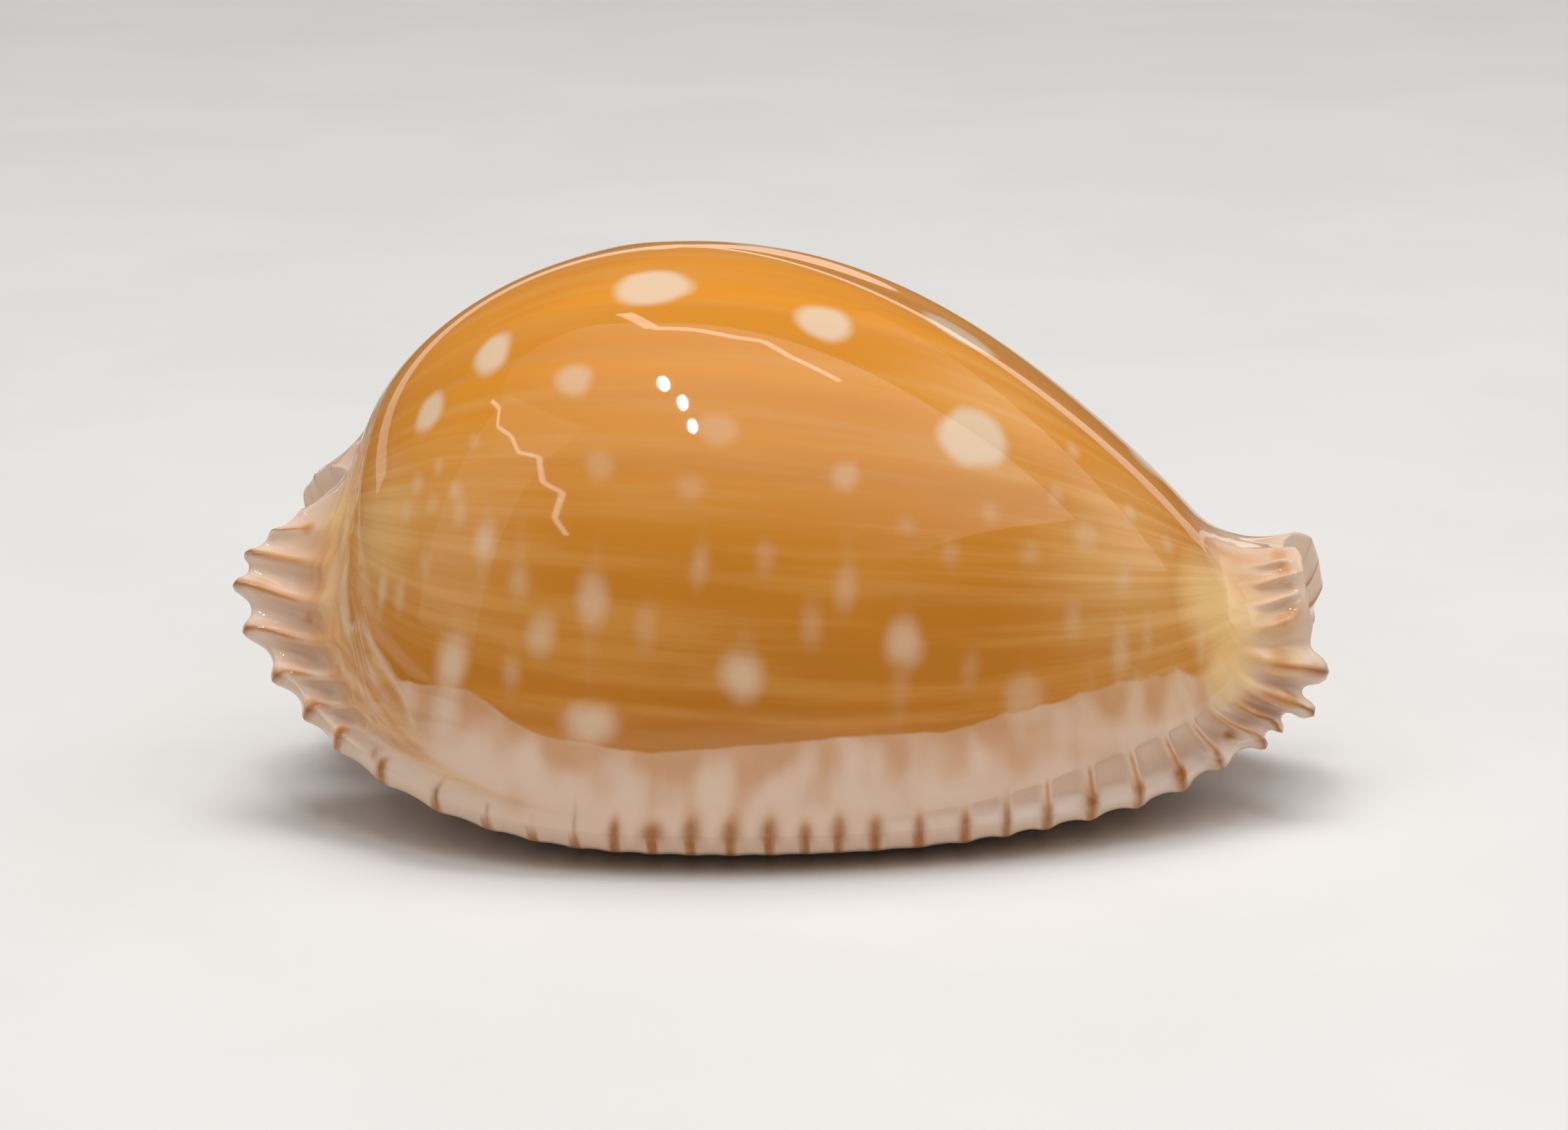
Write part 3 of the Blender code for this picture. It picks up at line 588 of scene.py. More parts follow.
def cell_depth(rib, t, sizes):
    """How deep the flange is dished between two ribs, under the border of the dome."""
    depth, upper = np.moveaxis(closed_spline(CELLS, rib), -1, 0)
    side = np.clip((rib_gap(rib) - 0.05) / 0.2, 0.0, 1.0)
    below = np.clip((t - upper) / 0.16, 0.0, 1.0)
    corner = np.clip(1 - np.hypot(1 - side, 1 - below), 0.0, 1.0)
    above = 1 - smooth_step(MARGIN_T - 0.4, MARGIN_T - 0.12, t)
    scale = sizes.cell_depth / CELL_DEPTH
    return np.clip(depth, 0.0, None) * scale * smooth_step(0.0, 1.0, corner) * above


def flowing_surface(rib, t):
    """The smooth surface, with the crease rounded off at the front end."""
    front = np.where(rib > 40, smooth_step(70.5, 74.0, rib), 1 - smooth_step(4.0, 8.0, rib))
    near = smooth_step(0.86, 0.92, t) * (1 - smooth_step(1.3, 1.6, t))
    along = from_crease(t)
    total = 0.0
    for offset, weight in CREASE_SOFTENING:
        place = along + offset * front * near
        run = np.where(place < 0, DOME_RUN, FLANGE_RUN)
        total = total + weight * smooth_surface(rib, CREASE_T + place / run)
    return total


def mirrored(rib):
    """The near-side rib number that a rib of the posterior end's far side matches."""
    return np.where((rib > 26) & (rib < 40), RIB_COUNT - rib, rib)


def from_crease(t):
    """Rough length along a meridian from the crease, negative on the dome."""
    return np.where(t < CREASE_T, (t - CREASE_T) * DOME_RUN, (t - CREASE_T) * FLANGE_RUN)


def fold_height(rib, t):
    """Height of the callus's shallow folds along the crease at the posterior end."""
    near = mirrored(rib)
    along = from_crease(t)
    ease = smooth_step(40.3, 42.5, near) * (1 - smooth_step(49.5, 53.0, near))
    window = smooth_step(-3.2, -1.6, along) * (1 - smooth_step(0.8, 2.0, along))
    wander = 0.22 * np.sin(1.1 * near) + 0.1 * np.sin(2.7 * near + 1.0)
    wave = np.cos(2 * math.pi * (along / FOLD_SPACING + wander))
    return FOLD_HEIGHT * ease * window * wave


def shell_surface(rib, t, sizes):
    """The finished surface: ribs and cells square to the smooth one, and the base made flat at 0."""
    along = flowing_surface(rib, t + SLOPE_STEP) - flowing_surface(rib, t - SLOPE_STEP)
    across = flowing_surface(rib + SLOPE_STEP, t) - flowing_surface(rib - SLOPE_STEP, t)
    normal = unit(np.cross(along, across))
    relief = rib_height(rib, t, sizes) - cell_depth(rib, t, sizes) + fold_height(rib, t)
    point = flowing_surface(rib, t) + normal * relief[..., None]
    point[..., 2] = np.maximum(point[..., 2], 0.0)
    return point, normal


def ring_stations(counts):
    """Stations of the rings, evenly spread between each pair of named stations."""
    stations = [0.0]
    for start, count in enumerate(counts):
        stations += [start + (i + 1) / count for i in range(count)]
    return np.array(stations)


def rise_from_margin(points, stations):
    """Length along each meridian from the margin up, negative on the base and inside."""
    steps = np.linalg.norm(np.diff(points, axis=1), axis=-1)
    length = np.concatenate([np.zeros((len(points), 1)), np.cumsum(steps, axis=1)], axis=1)
    margin = int(np.argmin(np.abs(stations - MARGIN_T)))
    return length[:, margin:margin + 1] - length


def around_axis(points):
    """Degrees round the long axis from the top, positive on the side of the outer lip."""
    height = points[..., 2] - AXIS_HEIGHT - AXIS_SLOPE * points[..., 0]
    return np.degrees(np.arctan2(-points[..., 1], height))


def spot_offsets(points, normals, outside, x, angle):
    """Offsets of all points from a spot's centre: along the shell, round it, and off its plane."""
    turn = around_axis(points)
    away = (points[..., 0] - x) ** 2 + ((turn - angle) * DEGREE_LENGTH) ** 2
    nearest = np.unravel_index(np.argmin(np.where(outside, away, 1e6)), away.shape)
    normal = normals[nearest]
    side = unit(np.cross(normal, unit(np.array([1.0, 0.0, AXIS_SLOPE]))))
    offset = points - points[nearest]
    return offset @ np.cross(side, normal), offset @ side, np.abs(offset @ normal)


def spot_fields(points, normals, outside, sizes):
    """For each point, how far it lies inside the nearest spot and that spot's strength."""
    inside = np.full(points.shape[:-1], NO_SPOT)
    strength = np.zeros(points.shape[:-1])
    dice = np.random.default_rng(7)
    for x, angle, length, breadth, power in SPOTS:
        phase = dice.uniform(0, 2 * math.pi, 3)
        u, w, off = spot_offsets(points, normals, outside, x, angle)
        u = u * 2 / (length * sizes.spot_size)
        w = w * 2 / (breadth * sizes.spot_size)
        heading = np.arctan2(w, u)
        ragged = 1 + 0.05 * np.sin(2 * heading + phase[0]) + 0.03 * np.sin(3 * heading + phase[1])
        ragged += 0.015 * np.sin(5 * heading + phase[2])
        size = math.sqrt(length * breadth) * sizes.spot_size / 2
        soft = 0.5 + 0.35 * smooth_step(50.0, 95.0, abs(angle))
        field = (1 - np.hypot(u, w) * ragged) * size / soft
        field = np.where((off > SPOT_REACH) | ~outside, NO_SPOT, field)
        strength = np.where(field > inside, power, strength)
        inside = np.maximum(inside, field)
    return inside, strength


def tail_field(points, normals, outside, sizes):
    """Faint upright streaks through the spots low on the dome, from 0 to 1."""
    value = np.zeros(points.shape[:-1])
    dice = np.random.default_rng(5)
    for x, angle, length, breadth, power in SPOTS:
        shift, reach, shade = dice.uniform(0.0, 1.0, 3)
        if abs(angle) < 78 or power < 0.4:
            continue
        u, w, off = spot_offsets(points, normals, outside, x, angle)
        u = u * 2 / (length * 0.7 * sizes.spot_size)
        w = (w - (shift - 0.5) * breadth) * 2 / (breadth * (1.8 + 1.4 * reach) * sizes.spot_size)
        streak = 1 - smooth_step(0.3, 1.15, np.hypot(u, w))
        streak = np.where((off > SPOT_REACH) | ~outside, 0.0, streak)
        value = np.maximum(value, streak * power * (0.08 + 0.16 * shade))
    return value


def brown_fields(rib, t, rise, spacing):
    """For each point, how brown a rib makes it and how dark that brown is, both from 0 to 1."""
    nearest = np.mod(np.rint(rib_phase(rib)), RIB_COUNT)
    line, streak, base, start = np.moveaxis(closed_spline(INK, nearest), -1, 0)
    dice = np.random.default_rng(11)
    vary = dice.uniform(0.75, 1.25, (RIB_COUNT, 2))
    which = nearest.astype(int)
    gap = rib_gap(rib) * spacing
    # thin lines on the flange
    line = line * (0.5 + 0.5 * vary[which, 0])
    line_mask = (1 - smooth_step(0.3, 1.3, gap / (line + LINE_EXTRA))) * smooth_step(0.0, 0.05, line)
    line_mask = line_mask * smooth_step(start, start + 0.25, t) * (0.75 + 0.25 * vary[which, 1])
    # soft flames at the margin
    height = rise / (FLAME_HEIGHT * vary[which, 0])
    width = np.maximum(streak, 0.02) * vary[which, 1] * (1 - 0.35 * np.clip(height, 0.0, 1.0))
    flame = np.exp(-(gap / (1.25 * width)) ** 2) * (1 - smooth_step(0.25, 1.35, height))
    flame = flame * smooth_step(0.05, 0.15, streak)
    # broad streaks under the base
    under = smooth_step(-0.2, 1.0, -rise)
    mark = (1 - smooth_step(0.5, 1.4, gap / np.maximum(base, 0.03))) * smooth_step(0.03, 0.1, base)
    mark = mark * (1 - smooth_step(LIP_T + 0.05, LIP_T + 0.5, t))
    above = np.maximum(line_mask, flame)
    dark = np.clip(0.15 + 0.85 * (1 - smooth_step(0.2, 1.0, height)), 0.0, 1.0)
    return above + (mark - above) * under, dark * (1 - under) + 0.6 * under


def cell_shade(rib, t, sizes):
    """Painted shade in the dished cells of the flange, stronger where a cell is deeper, from 0 to 1.
    """
    return np.clip(cell_depth(rib, t, sizes) / FULL_CELL, 0.0, 1.0)


def border_fields(rib, rise):
    """How far a point lies over the border's line, how sharply, and how white the rim is."""
    line, soft, white = np.moveaxis(closed_spline(BORDER, rib), -1, 0)
    low = smooth_step(-1.0, 0.1, rise)
    high = 1 - smooth_step(0.5, 1.1, rise)
    over = rise - line
    return over, np.clip(over / np.maximum(soft, 0.1), -30.0, 30.0), white * low * high


def patch_field(points, stations):
    """How strong the orange-brown patches are at each point, from 0 to 1."""
    value = np.zeros(points.shape[:-1])
    for rib, t, radius, strength in PATCHES:
        column = int(round(rib * SAMPLES)) % len(points)
        centre = points[column, int(np.argmin(np.abs(stations - t)))]
        far = np.linalg.norm(points - centre, axis=-1)
        value = np.maximum(value, strength * (1 - smooth_step(0.15 * radius, radius, far)))
    return value


def callus_field(rib, t):
    """How strong the folded callus is at the posterior end, and the pale line along its crisp edge,
    which is part cream rim and part painted highlight.
    """
    near = mirrored(rib)
    upper, strength = np.moveaxis(closed_spline(CALLUS, near), -1, 0)
    upper = np.clip(upper, 0.85, 1.5)
    strength = np.where((near > 40.5) & (near < 56), np.clip(strength, 0.0, 1.0), 0.0)
    soft = 0.012 + 0.12 * smooth_step(49.5, 52.0, near)
    low = smooth_step(upper - soft, upper + soft, t)
    past = from_crease(t) - from_crease(upper)
    crisp = 1 - smooth_step(49.5, 51.0, near)
    return (strength * low * (1 - smooth_step(1.25, 1.6, t)),
            strength * crisp * np.exp(-(past / 0.22) ** 2))


def yellow_field(points):
    """How yellow the glaze is near the two ends, from 0 to 1."""
    value = np.zeros(points.shape[:-1])
    for x, y, z, radius, strength in YELLOW:
        far = np.linalg.norm(points - np.array([x, y, z]), axis=-1)
        value = np.maximum(value, strength * (1 - smooth_step(0.0, radius, far)))
    return value


def put_attribute(mesh, name, values):
    """Store one number for each vertex."""
    layer = mesh.attributes.new(name, "FLOAT", "POINT")
    layer.data.foreach_set("value", np.ascontiguousarray(values, dtype=np.float32))


def deselect_all():
    """Leave nothing selected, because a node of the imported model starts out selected."""
    if bpy.context.object and bpy.context.object.mode != "OBJECT":
        bpy.ops.object.mode_set(mode="OBJECT")
    bpy.ops.object.select_all(action="DESELECT")


def add_sheet(name, columns, rows):
    """A flat square sheet of one metre, cut into columns and rows."""
    deselect_all()
    bpy.ops.mesh.primitive_grid_add(x_subdivisions=columns, y_subdivisions=rows, size=1.0,
                                    calc_uvs=False)
    sheet = bpy.context.object
    sheet.name = name
    sheet.data.name = name
    return sheet


def kept_meridian(turn, ring, stations):
    """The meridian whose place each vertex takes, so that plain areas get fewer faces."""
    step = np.ones_like(turn)
    for station, share in KEPT_MERIDIANS:
        step = np.where(stations[ring] >= station, share, step)
    count = RIB_COUNT * SAMPLES
    return np.mod((turn / step + 0.5).astype(int) * step, count)


def lay_over_shell(sheet, stations, sizes):
    """Roll the sheet up into the shell and note on each vertex what the glaze needs to know."""
    mesh = sheet.data
    meridians = RIB_COUNT * SAMPLES
    last = len(stations) - 1
    places = np.empty(len(mesh.vertices) * 3, dtype=np.float32)
    mesh.vertices.foreach_get("co", places)
    places = places.reshape(-1, 3)
    turn = np.rint((places[:, 0] + 0.5) * meridians).astype(int)
    ring = np.rint((places[:, 1] + 0.5) * last).astype(int)
    turn = kept_meridian(turn, ring, stations)

    rib = np.arange(meridians)[:, None] / SAMPLES
    t = stations[None, :]
    points, normals = shell_surface(rib, t, sizes)
    points[:, 0] = CROWN
    points[:, last] = cavity_wall(CROWN)
    normals[:, 0] = (0.0, 0.0, 1.0)
    rise = rise_from_margin(points, stations)
    spacing = np.linalg.norm(np.roll(points, -1, axis=0) - points, axis=-1) * SAMPLES
    spot, spot_power = spot_fields(points, normals, (t < MARGIN_T) & (rise > SPOT_LOWEST), sizes)
    brown, dark = brown_fields(rib, t, rise, spacing)
    over, fade, rim = border_fields(rib, rise)
    callus, callus_edge_cream_and_highlight = callus_field(rib, t)
    whole = np.ones_like(rise)
    angle = rib * 2 * math.pi / RIB_COUNT
    fields = {
        "station": t * whole,
        "rise": rise,
        "spot": spot,
        "spot_power": spot_power,
        "brown": brown,
        "dark": dark,
        "cell": cell_shade(rib, t, sizes) * whole,
        "over": over,
        "fade": fade,
        "rim": rim,
        "tail": tail_field(points, normals, t < MARGIN_T, sizes),
        "yellow": yellow_field(points),
        "callus": callus,
        "callus_edge_cream_and_highlight": callus_edge_cream_and_highlight,
        "patch": patch_field(points, stations),
        "around": around_axis(points),
        "side_x": np.cos(angle) * whole,
        "side_y": np.sin(angle) * whole,
    }
    for name, grid in fields.items():
        put_attribute(mesh, name, grid[turn, ring])
    points[..., :2] -= (points[..., :2].max(axis=(0, 1)) + points[..., :2].min(axis=(0, 1))) / 2
    mesh.vertices.foreach_set("co", (points[turn, ring] * MM).astype(np.float32).ravel())
    mesh.update()


def merge_doubles(piece):
    """Merge vertices that lie on each other, then turn all faces outwards."""
    deselect_all()
    piece.select_set(True)
    bpy.context.view_layer.objects.active = piece
    bpy.ops.object.mode_set(mode="EDIT")
    bpy.ops.mesh.select_all(action="SELECT")
    bpy.ops.mesh.remove_doubles(threshold=1e-7)
    bpy.ops.mesh.normals_make_consistent(inside=False)
    bpy.ops.object.mode_set(mode="OBJECT")
    bpy.ops.object.shade_smooth()


class Nodes:
    """Adds the nodes of one node tree."""

    def __init__(self, tree):
        self.tree = tree

    def new(self, kind, **settings):
        node = self.tree.nodes.new("ShaderNode" + kind)
        for key, value in settings.items():
            setattr(node, key, value)
        return node

    def put(self, value, socket):
        """Link a socket, or set it to a number or a colour."""
        if isinstance(value, bpy.types.NodeSocket):
            self.tree.links.new(value, socket)
        elif socket.type == "RGBA":
            socket.default_value = (*value[:3], 1.0)
        else:
            socket.default_value = value

    def attribute(self, name):
        return self.new("Attribute", attribute_name=name).outputs["Fac"]

    def math(self, operation, *values):
        node = self.new("Math", operation=operation)
        for value, socket in zip(values, node.inputs):
            self.put(value, socket)
        return node.outputs[0]

    def times(self, value, factor):
        return self.math("MULTIPLY", value, factor)

    def between(self, value, low, high, start=0.0, end=1.0):
        """Smooth change from start at low to end at high."""
        node = self.new("MapRange", interpolation_type="SMOOTHSTEP")
        for key, given in (("Value", value), ("From Min", low), ("From Max", high),
                           ("To Min", start), ("To Max", end)):
            self.put(given, node.inputs[key])
        return node.outputs[0]

    def vector(self, x, y, z):
        node = self.new("CombineXYZ")
        for value, socket in zip((x, y, z), node.inputs):
            self.put(value, socket)
        return node.outputs[0]

    def noise(self, vector, scale, detail=2.0, roughness=0.5):
        node = self.new("TexNoise")
        self.put(vector, node.inputs["Vector"])
        node.inputs["Scale"].default_value = scale
        node.inputs["Detail"].default_value = detail
        node.inputs["Roughness"].default_value = roughness
        return node.outputs[0]

    def mix(self, amount, below, above):
        """A colour laid over another by an amount."""
        node = self.new("Mix", data_type="RGBA")
        self.put(amount, node.inputs[0])
        self.put(below, node.inputs[6])
        self.put(above, node.inputs[7])
        return node.outputs[2]


def up_the_side(nodes, across, up):
    """Place for a noise on the side of the shell, by its scale round the shell and along the rise."""
    return nodes.vector(nodes.times(nodes.attribute("side_x"), across),
                        nodes.times(nodes.attribute("side_y"), across),
                        nodes.times(nodes.attribute("rise"), up))


def glaze_material(colours):
    """Glossy porcelain: orange dome with growth bands and spots, pale border, brown ribs."""
    material = bpy.data.materials.new("shell_glaze_finish")
    material.use_nodes = True
    tree = material.node_tree
    nodes = Nodes(tree)
    shader = tree.nodes["Principled BSDF"]

    place = nodes.new("TexCoord").outputs["Object"]
    split = nodes.new("SeparateXYZ")
    nodes.put(place, split.inputs[0])
    along, across, height = split.outputs

    # orange of the dome, painted darker low down as shade, with cloudy patches and growth bands along
    # the shell
    cloudy = nodes.noise(place, 90.0, detail=3.0)
    high = nodes.between(height, 0.008, 0.027)
    orange = nodes.mix(high, colours.orange_deep_and_shaded, colours.orange_top)
    around = nodes.times(nodes.attribute("around"), 0.11)
    lengthwise = nodes.times(along, 26.0)
    bands = nodes.noise(nodes.vector(around, lengthwise, 0.0), 2.0, detail=3.0, roughness=0.55)
    wide_bands = nodes.noise(nodes.vector(around, lengthwise, 4.0), 0.7, detail=2.0)
    band_mask = nodes.times(nodes.between(bands, 0.42, 0.68), 0.5)
    orange = nodes.mix(band_mask, orange, colours.band)
    deep_mask = nodes.times(nodes.between(wide_bands, 0.45, 0.7), 0.3)
    orange = nodes.mix(deep_mask, orange, colours.orange_deep_and_shaded)
    cloud_mask = nodes.times(nodes.between(cloudy, 0.45, 0.7), 0.18)
    orange = nodes.mix(cloud_mask, orange, colours.orange_top)

    # pale border under a ragged line: peach at the line, with whitish upright blots lower down
    side = up_the_side(nodes, 14.0, 0.42)
    step = nodes.math("MULTIPLY_ADD", nodes.noise(side, 1.6, detail=2.0), 2.4, -1.2)
    pale = nodes.between(nodes.math("ADD", nodes.attribute("fade"), step), 0.8, -0.8)
    blots = nodes.noise(side, 1.0, detail=0.0)
    streaks = nodes.noise(up_the_side(nodes, 17.0, 0.25), 1.0, detail=1.0)
    depth = nodes.math("MULTIPLY_ADD", streaks, 5.6, -5.2)
    depth = nodes.math("MULTIPLY_ADD", blots, 5.2, depth)
    depth = nodes.math("SUBTRACT", depth, nodes.attribute("over"))
    border = nodes.mix(nodes.between(depth, -0.6, 4.6), colours.peach, colours.pale)
    surface = nodes.mix(pale, orange, border)

    # tan callus with cream streaks along the crease: the cream is painted highlight on the folds, the
    # tan is the callus's own colour and painted shade in the hollows
    folds = nodes.noise(up_the_side(nodes, 3.5, 0.8), 1.3, detail=2.0)
    folds = nodes.between(folds, 0.3, 0.75)
    callus_colour_and_fold_shading = nodes.mix(folds, colours.tan, colours.fold_cream_and_highlight)
    callus = nodes.times(nodes.attribute("callus"), 0.85)
    surface = nodes.mix(callus, surface, callus_colour_and_fold_shading)
    # pale line along the callus's crisp edge in the spots' cream: part rim colour, part painted
    # highlight
    edge = nodes.times(nodes.attribute("callus_edge_cream_and_highlight"), 0.6)
    surface = nodes.mix(edge, surface, colours.spot)

    # yellow cream at the two ends, over the dome and the root of the flange
    uneven = nodes.math("MULTIPLY_ADD", bands, 1.2, 0.4)
    yellow = nodes.times(nodes.attribute("yellow"), uneven)
    yellow = nodes.times(nodes.between(yellow, 0.05, 1.0), 0.85)
    surface = nodes.mix(yellow, surface, colours.yellow)

    # cream spots with soft, slightly uneven edges
    ragged = nodes.noise(place, 500.0, detail=3.0)
    spot = nodes.math("MULTIPLY_ADD", ragged, 0.7, nodes.attribute("spot"))
    spot = nodes.between(spot, -0.35, 1.4)
    spot = nodes.times(spot, nodes.attribute("spot_power"))
    spot = nodes.math("MAXIMUM", nodes.times(spot, 0.88), nodes.attribute("tail"))
    surface = nodes.mix(spot, surface, colours.spot)

    # purplish painted shade in the dished cells of the flange, darkest where they are deepest, and
    # the thick white rim along the margin
    cell = nodes.times(nodes.attribute("cell"), 0.35)
    surface = nodes.mix(cell, surface, colours.cell)
    rim = nodes.times(nodes.attribute("rim"), 0.75)
    surface = nodes.mix(rim, surface, colours.rim)

    # orange-brown patches, then brown along the ribs
    blurred = nodes.math("MULTIPLY_ADD", nodes.noise(place, 800.0), 0.6, 0.7)
    patch = nodes.times(nodes.attribute("patch"), blurred)
    surface = nodes.mix(patch, surface, colours.rib_light)
    wobble = nodes.math("MULTIPLY_ADD", nodes.noise(place, 1400.0, detail=3.0), 0.5, 0.75)
    brown = nodes.times(nodes.attribute("brown"), wobble)
    brown = nodes.math("MINIMUM", brown, 1.0)
    ink = nodes.mix(nodes.attribute("dark"), colours.rib_light, colours.rib_dark)
    surface = nodes.mix(nodes.times(brown, 0.95), surface, ink)

    # pale lilac inside
    inner = nodes.between(nodes.attribute("station"), 3.3, 4.0)
    surface = nodes.mix(inner, surface, colours.inside)

    nodes.put(surface, shader.inputs["Base Color"])
    shader.inputs["Roughness"].default_value = 0.35
    shader.inputs["Coat Weight"].default_value = 1.0
    shader.inputs["Coat Roughness"].default_value = 0.035
    shader.inputs["Coat IOR"].default_value = 1.5
    shader.inputs["Specular IOR Level"].default_value = 0.0

    grain = nodes.noise(place, 260.0, detail=3.0)
    bump = nodes.new("Bump")
    bump.inputs["Strength"].default_value = 0.25
    bump.inputs["Distance"].default_value = 0.00008
    nodes.put(grain, bump.inputs["Height"])
    nodes.put(bump.outputs[0], shader.inputs["Normal"])
    return material


def table_material(colour):
    """Plain pale matt surface with a faint mottle, greyer beyond the front of the picture."""
    material = bpy.data.materials.new("table_finish")
    material.use_nodes = True
    nodes = Nodes(material.node_tree)
    shader = material.node_tree.nodes["Principled BSDF"]
    place = nodes.new("TexCoord").outputs["Object"]
    mottle = nodes.noise(place, 40.0, detail=4.0)
    darker = tuple(part * 0.97 for part in colour)
    shade = nodes.mix(nodes.between(mottle, 0.35, 0.65), darker, colour)
    split = nodes.new("SeparateXYZ")
    nodes.put(place, split.inputs[0])
    front = nodes.between(split.outputs[1], *TABLE_GREYS)
    greyer = tuple(part * 0.3 for part in colour)
    shade = nodes.mix(front, shade, greyer)
    nodes.put(shade, shader.inputs["Base Color"])
    shader.inputs["Roughness"].default_value = 0.7
    shader.inputs["Specular IOR Level"].default_value = 0.2
    return material


def colour_setting(name, description, default):
    """A colour that the panel shows."""
    return bpy.props.FloatVectorProperty(name=name, description=description, default=default,
                                         subtype="COLOR", size=3, min=0.0, max=1.0)


class ShellSettings(bpy.types.PropertyGroup):
    """Sizes and colours of the shell."""

    rib_height: bpy.props.FloatProperty(
        name="Rib height", description="Height of the ribs on the flange",
        default=0.0006, min=0.0, max=0.002, unit="LENGTH")
    tooth_height: bpy.props.FloatProperty(
        name="Tooth height", description="Height of the ribs at the lips of the aperture",
        default=0.0007, min=0.0, max=0.002, unit="LENGTH")
    cell_depth: bpy.props.FloatProperty(
        name="Cell depth", description="Depth of the deepest cells between the ribs of the flange",
        default=CELL_DEPTH, min=0.0, max=0.001, unit="LENGTH")
    spot_size: bpy.props.FloatProperty(
        name="Spot size", description="Size of the cream spots, 1 as on the real shell",
        default=1.0, min=0.1, max=2.0, subtype="FACTOR")
    # The dome runs from the high orange to the low one by height, which is painted shade; the low
    # orange is also the deep orange of the broad growth bands
    orange_top: colour_setting("Orange, high", "Dome near the crown", (0.78, 0.3, 0.028))
    orange_deep_and_shaded: colour_setting("Orange, low", "Dome near the border", (0.54, 0.19, 0.018))
    band: colour_setting("Growth band", "Paler bands along the dome", (0.76, 0.36, 0.09))
    yellow: colour_setting("Yellow cream", "Dome near its two ends", (0.9, 0.6, 0.27))
    pale: colour_setting("Pale border", "Border of the dome and the base", (0.8, 0.57, 0.42))
    peach: colour_setting("Peach border", "Warmer parts of the border", (0.66, 0.34, 0.165))
    # The callus's tan is its own colour and painted shade in its hollows; its cream is painted
    # highlight on its folds
    tan: colour_setting("Callus, tan", "Hollows of the folded callus", (0.64, 0.27, 0.06))
    fold_cream_and_highlight: colour_setting("Callus, cream", "Folds of the callus", (0.8, 0.48, 0.24))
    spot: colour_setting("Spots", "Cream spots of the dome", (0.83, 0.62, 0.43))
    # The cells' colour is a purplish tint laid in by each cell's depth: painted shade
    cell: colour_setting("Cells", "Hollows between the ribs", (0.58, 0.35, 0.25))
    rim: colour_setting("Rim", "Thick edge of the flange", (0.82, 0.68, 0.58))
    rib_light: colour_setting("Ribs, light", "Thin lines along the ribs", (0.58, 0.22, 0.03))
    rib_dark: colour_setting("Ribs, dark", "Streaks at the margin and on the base",
                             (0.36, 0.115, 0.012))
    inside: colour_setting("Inside", "Throat and cavity", (0.62, 0.52, 0.5))


class StageSettings(bpy.types.PropertyGroup):
    """The table, the lights and the camera."""

    table_size: bpy.props.FloatProperty(
        name="Table size", description="Length and depth of the table",
        default=1.6, min=0.2, unit="LENGTH")
    table_colour: colour_setting("Table", "Colour of the table", (0.78, 0.77, 0.75))
    soft_light: bpy.props.FloatProperty(
        name="Soft light", description="Power of the overhead soft light",
        default=2.65, min=0.0, unit="POWER")
    lens: bpy.props.FloatProperty(
        name="Lens", description="Focal length of the camera, in millimetres",
        default=140.0, min=20.0)
    distance: bpy.props.FloatProperty(
        name="Distance", description="From the camera to the middle of the shell",
        default=0.3375, min=0.05, unit="LENGTH")
    elevation: bpy.props.FloatProperty(
        name="Elevation", description="Angle of the camera above the table",
        default=math.radians(14.0), subtype="ANGLE")


class COWRIE_OT_shell(bpy.types.Operator):
    """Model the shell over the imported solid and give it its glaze"""

    bl_idname = "cowrie.shell"
    bl_label = "Make Shell"

    def execute(self, context):
        sizes = context.scene.cowrie_shell
        stations = ring_stations(RINGS)
        shell = add_sheet("cowrie_shell", RIB_COUNT * SAMPLES, len(stations) - 1)
        lay_over_shell(shell, stations, sizes)
        merge_doubles(shell)
        shell.data.materials.append(glaze_material(sizes))
        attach(shell, BODY)
        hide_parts(NODE)
        return {"FINISHED"}


def aim(thing, target):
    """Turn a light or the camera towards a point."""
    direction = np.array(target) - np.array(thing.location)
    flat = math.hypot(direction[0], direction[1])
    thing.rotation_euler = (math.pi / 2 + math.atan2(direction[2], flat), 0.0,
                            math.atan2(-direction[0], direction[1]))


def add_light(name, place, width, depth, power):
    """A flat lamp that faces the middle of the shell."""
    deselect_all()
    bpy.ops.object.light_add(type="AREA", location=place)
    lamp = bpy.context.object
    lamp.name = name
    lamp.data.shape = "RECTANGLE"
    lamp.data.size = width
    lamp.data.size_y = depth
    lamp.data.energy = power
    aim(lamp, MIDDLE)
    return lamp


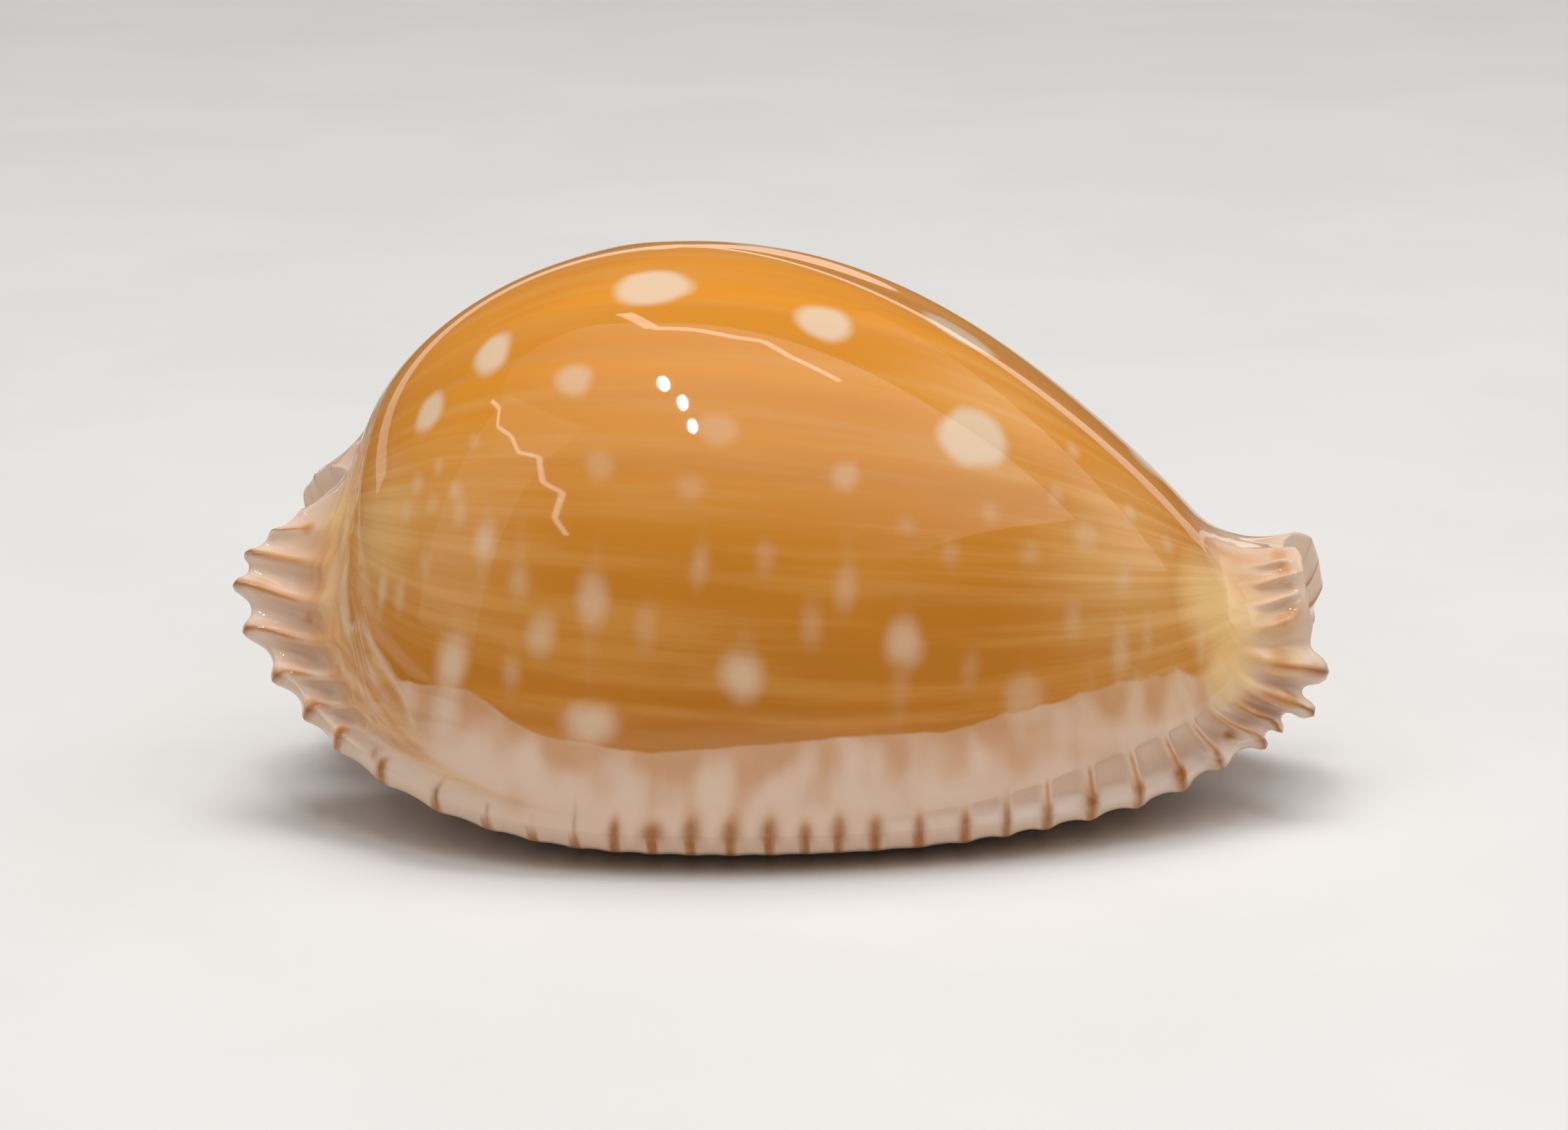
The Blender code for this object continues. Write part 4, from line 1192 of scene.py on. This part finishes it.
def light_shell(power):
    """Soft light from above, and the small lights whose reflections show in the glaze."""
    for name, place, width, depth, share in PANELS:
        panel = add_light(name, place, width, depth, power * share)
        panel.visible_glossy = name not in UNMIRRORED_PANELS
        if name in FADING_PANELS:
            panel.rotation_euler = (0.0, 0.0, FADING_PANEL_TURN)
            fade_to_front(panel.data)
    for number, (x, y) in enumerate(LAMPS):
        place = (x * LIGHT_HEIGHT, y * LIGHT_HEIGHT, LIGHT_HEIGHT - LAMP_DROP)
        lamp = add_light(f"lamp_{number}", place, LAMP_WIDTH, LAMP_DEPTH, power * LAMP_SHARE)
        lamp.data.shape = "ELLIPSE"
        lamp.rotation_euler = (0.0, 0.0, 0.0)
    edges = [ends for line in PANEL_EDGES for ends in zip(line, line[1:])]
    for number, ((x0, y0), (x1, y1)) in enumerate(edges):
        place = ((x0 + x1) / 2 * LIGHT_HEIGHT, (y0 + y1) / 2 * LIGHT_HEIGHT,
                 LIGHT_HEIGHT - EDGE_DROP)
        length = math.hypot(x1 - x0, y1 - y0) * LIGHT_HEIGHT
        edge = add_light(f"panel_edge_{number}", place, length, EDGE_WIDTH,
                         power * length * EDGE_SHARE)
        edge.rotation_euler = (0.0, 0.0, math.atan2(y1 - y0, x1 - x0))


def fade_to_front(lamp):
    """Make a flat lamp glow less and less towards its front and its left edge."""
    lamp.use_nodes = True
    nodes = Nodes(lamp.node_tree)
    across = nodes.new("SeparateXYZ")
    nodes.put(nodes.new("NewGeometry").outputs["Parametric"], across.inputs[0])
    glow = lamp.node_tree.nodes["Emission"]
    front = nodes.between(across.outputs[1], 0.0, 0.8, 0.05, 1.7)
    left = nodes.between(across.outputs[0], 0.0, 0.4, 0.2, 1.0)
    nodes.put(nodes.times(front, left), glow.inputs["Strength"])


class COWRIE_OT_stage(bpy.types.Operator):
    """Put the shell on a plain pale table with soft light and a camera"""

    bl_idname = "cowrie.stage"
    bl_label = "Set Stage"

    def execute(self, context):
        stage = context.scene.cowrie_stage
        deselect_all()
        bpy.ops.mesh.primitive_plane_add(size=1.0, location=(0.0, 0.0, 0.0))
        table = context.object
        table.name = "table_top"
        half = stage.table_size / 2
        corners = ((-half, -TABLE_FRONT), (half, -TABLE_FRONT),
                   (-half, stage.table_size - TABLE_FRONT), (half, stage.table_size - TABLE_FRONT))
        for vertex, (x, y) in zip(table.data.vertices, corners):
            vertex.co = (x, y, 0.0)
        table.data.materials.append(table_material(stage.table_colour))

        light_shell(stage.soft_light)

        world = context.scene.world or bpy.data.worlds.new("room")
        context.scene.world = world
        world.use_nodes = True
        background = world.node_tree.nodes["Background"]
        background.inputs["Color"].default_value = (1.0, 0.97, 0.93, 1.0)
        background.inputs["Strength"].default_value = 0.1

        tilt = stage.elevation
        place = LOOK_AT + stage.distance * np.array([0.0, -math.cos(tilt), math.sin(tilt)])
        bpy.ops.object.camera_add(location=place)
        camera = context.object
        camera.name = "camera"
        camera.data.lens = stage.lens
        camera.data.sensor_width = 36.0
        camera.data.clip_start = 0.01
        aim(camera, LOOK_AT)
        context.scene.camera = camera
        context.scene.view_settings.view_transform = "Standard"
        return {"FINISHED"}


class COWRIE_PT_panel(bpy.types.Panel):
    """Sizes, colours and steps of the cowrie shell"""

    bl_idname = "COWRIE_PT_panel"
    bl_label = "Great Spotted Cowrie"
    bl_space_type = "VIEW_3D"
    bl_region_type = "UI"
    bl_category = "Cowrie"

    def draw(self, context):
        for settings, operator in ((context.scene.cowrie_shell, COWRIE_OT_shell),
                                   (context.scene.cowrie_stage, COWRIE_OT_stage)):
            box = self.layout.box()
            for name in settings.bl_rna.properties.keys():
                if name not in {"rna_type", "name"}:
                    box.prop(settings, name)
            box.operator(operator.bl_idname)


CLASSES = (ShellSettings, StageSettings, COWRIE_OT_shell, COWRIE_OT_stage, COWRIE_PT_panel)


def register():
    for item in CLASSES:
        bpy.utils.register_class(item)
    bpy.types.Scene.cowrie_shell = bpy.props.PointerProperty(type=ShellSettings)
    bpy.types.Scene.cowrie_stage = bpy.props.PointerProperty(type=StageSettings)


def unregister():
    del bpy.types.Scene.cowrie_stage
    del bpy.types.Scene.cowrie_shell
    for item in reversed(CLASSES):
        bpy.utils.unregister_class(item)


def main():
    register()
    bpy.ops.cowrie.shell()
    bpy.ops.cowrie.stage()


if __name__ == "__main__":
    main()
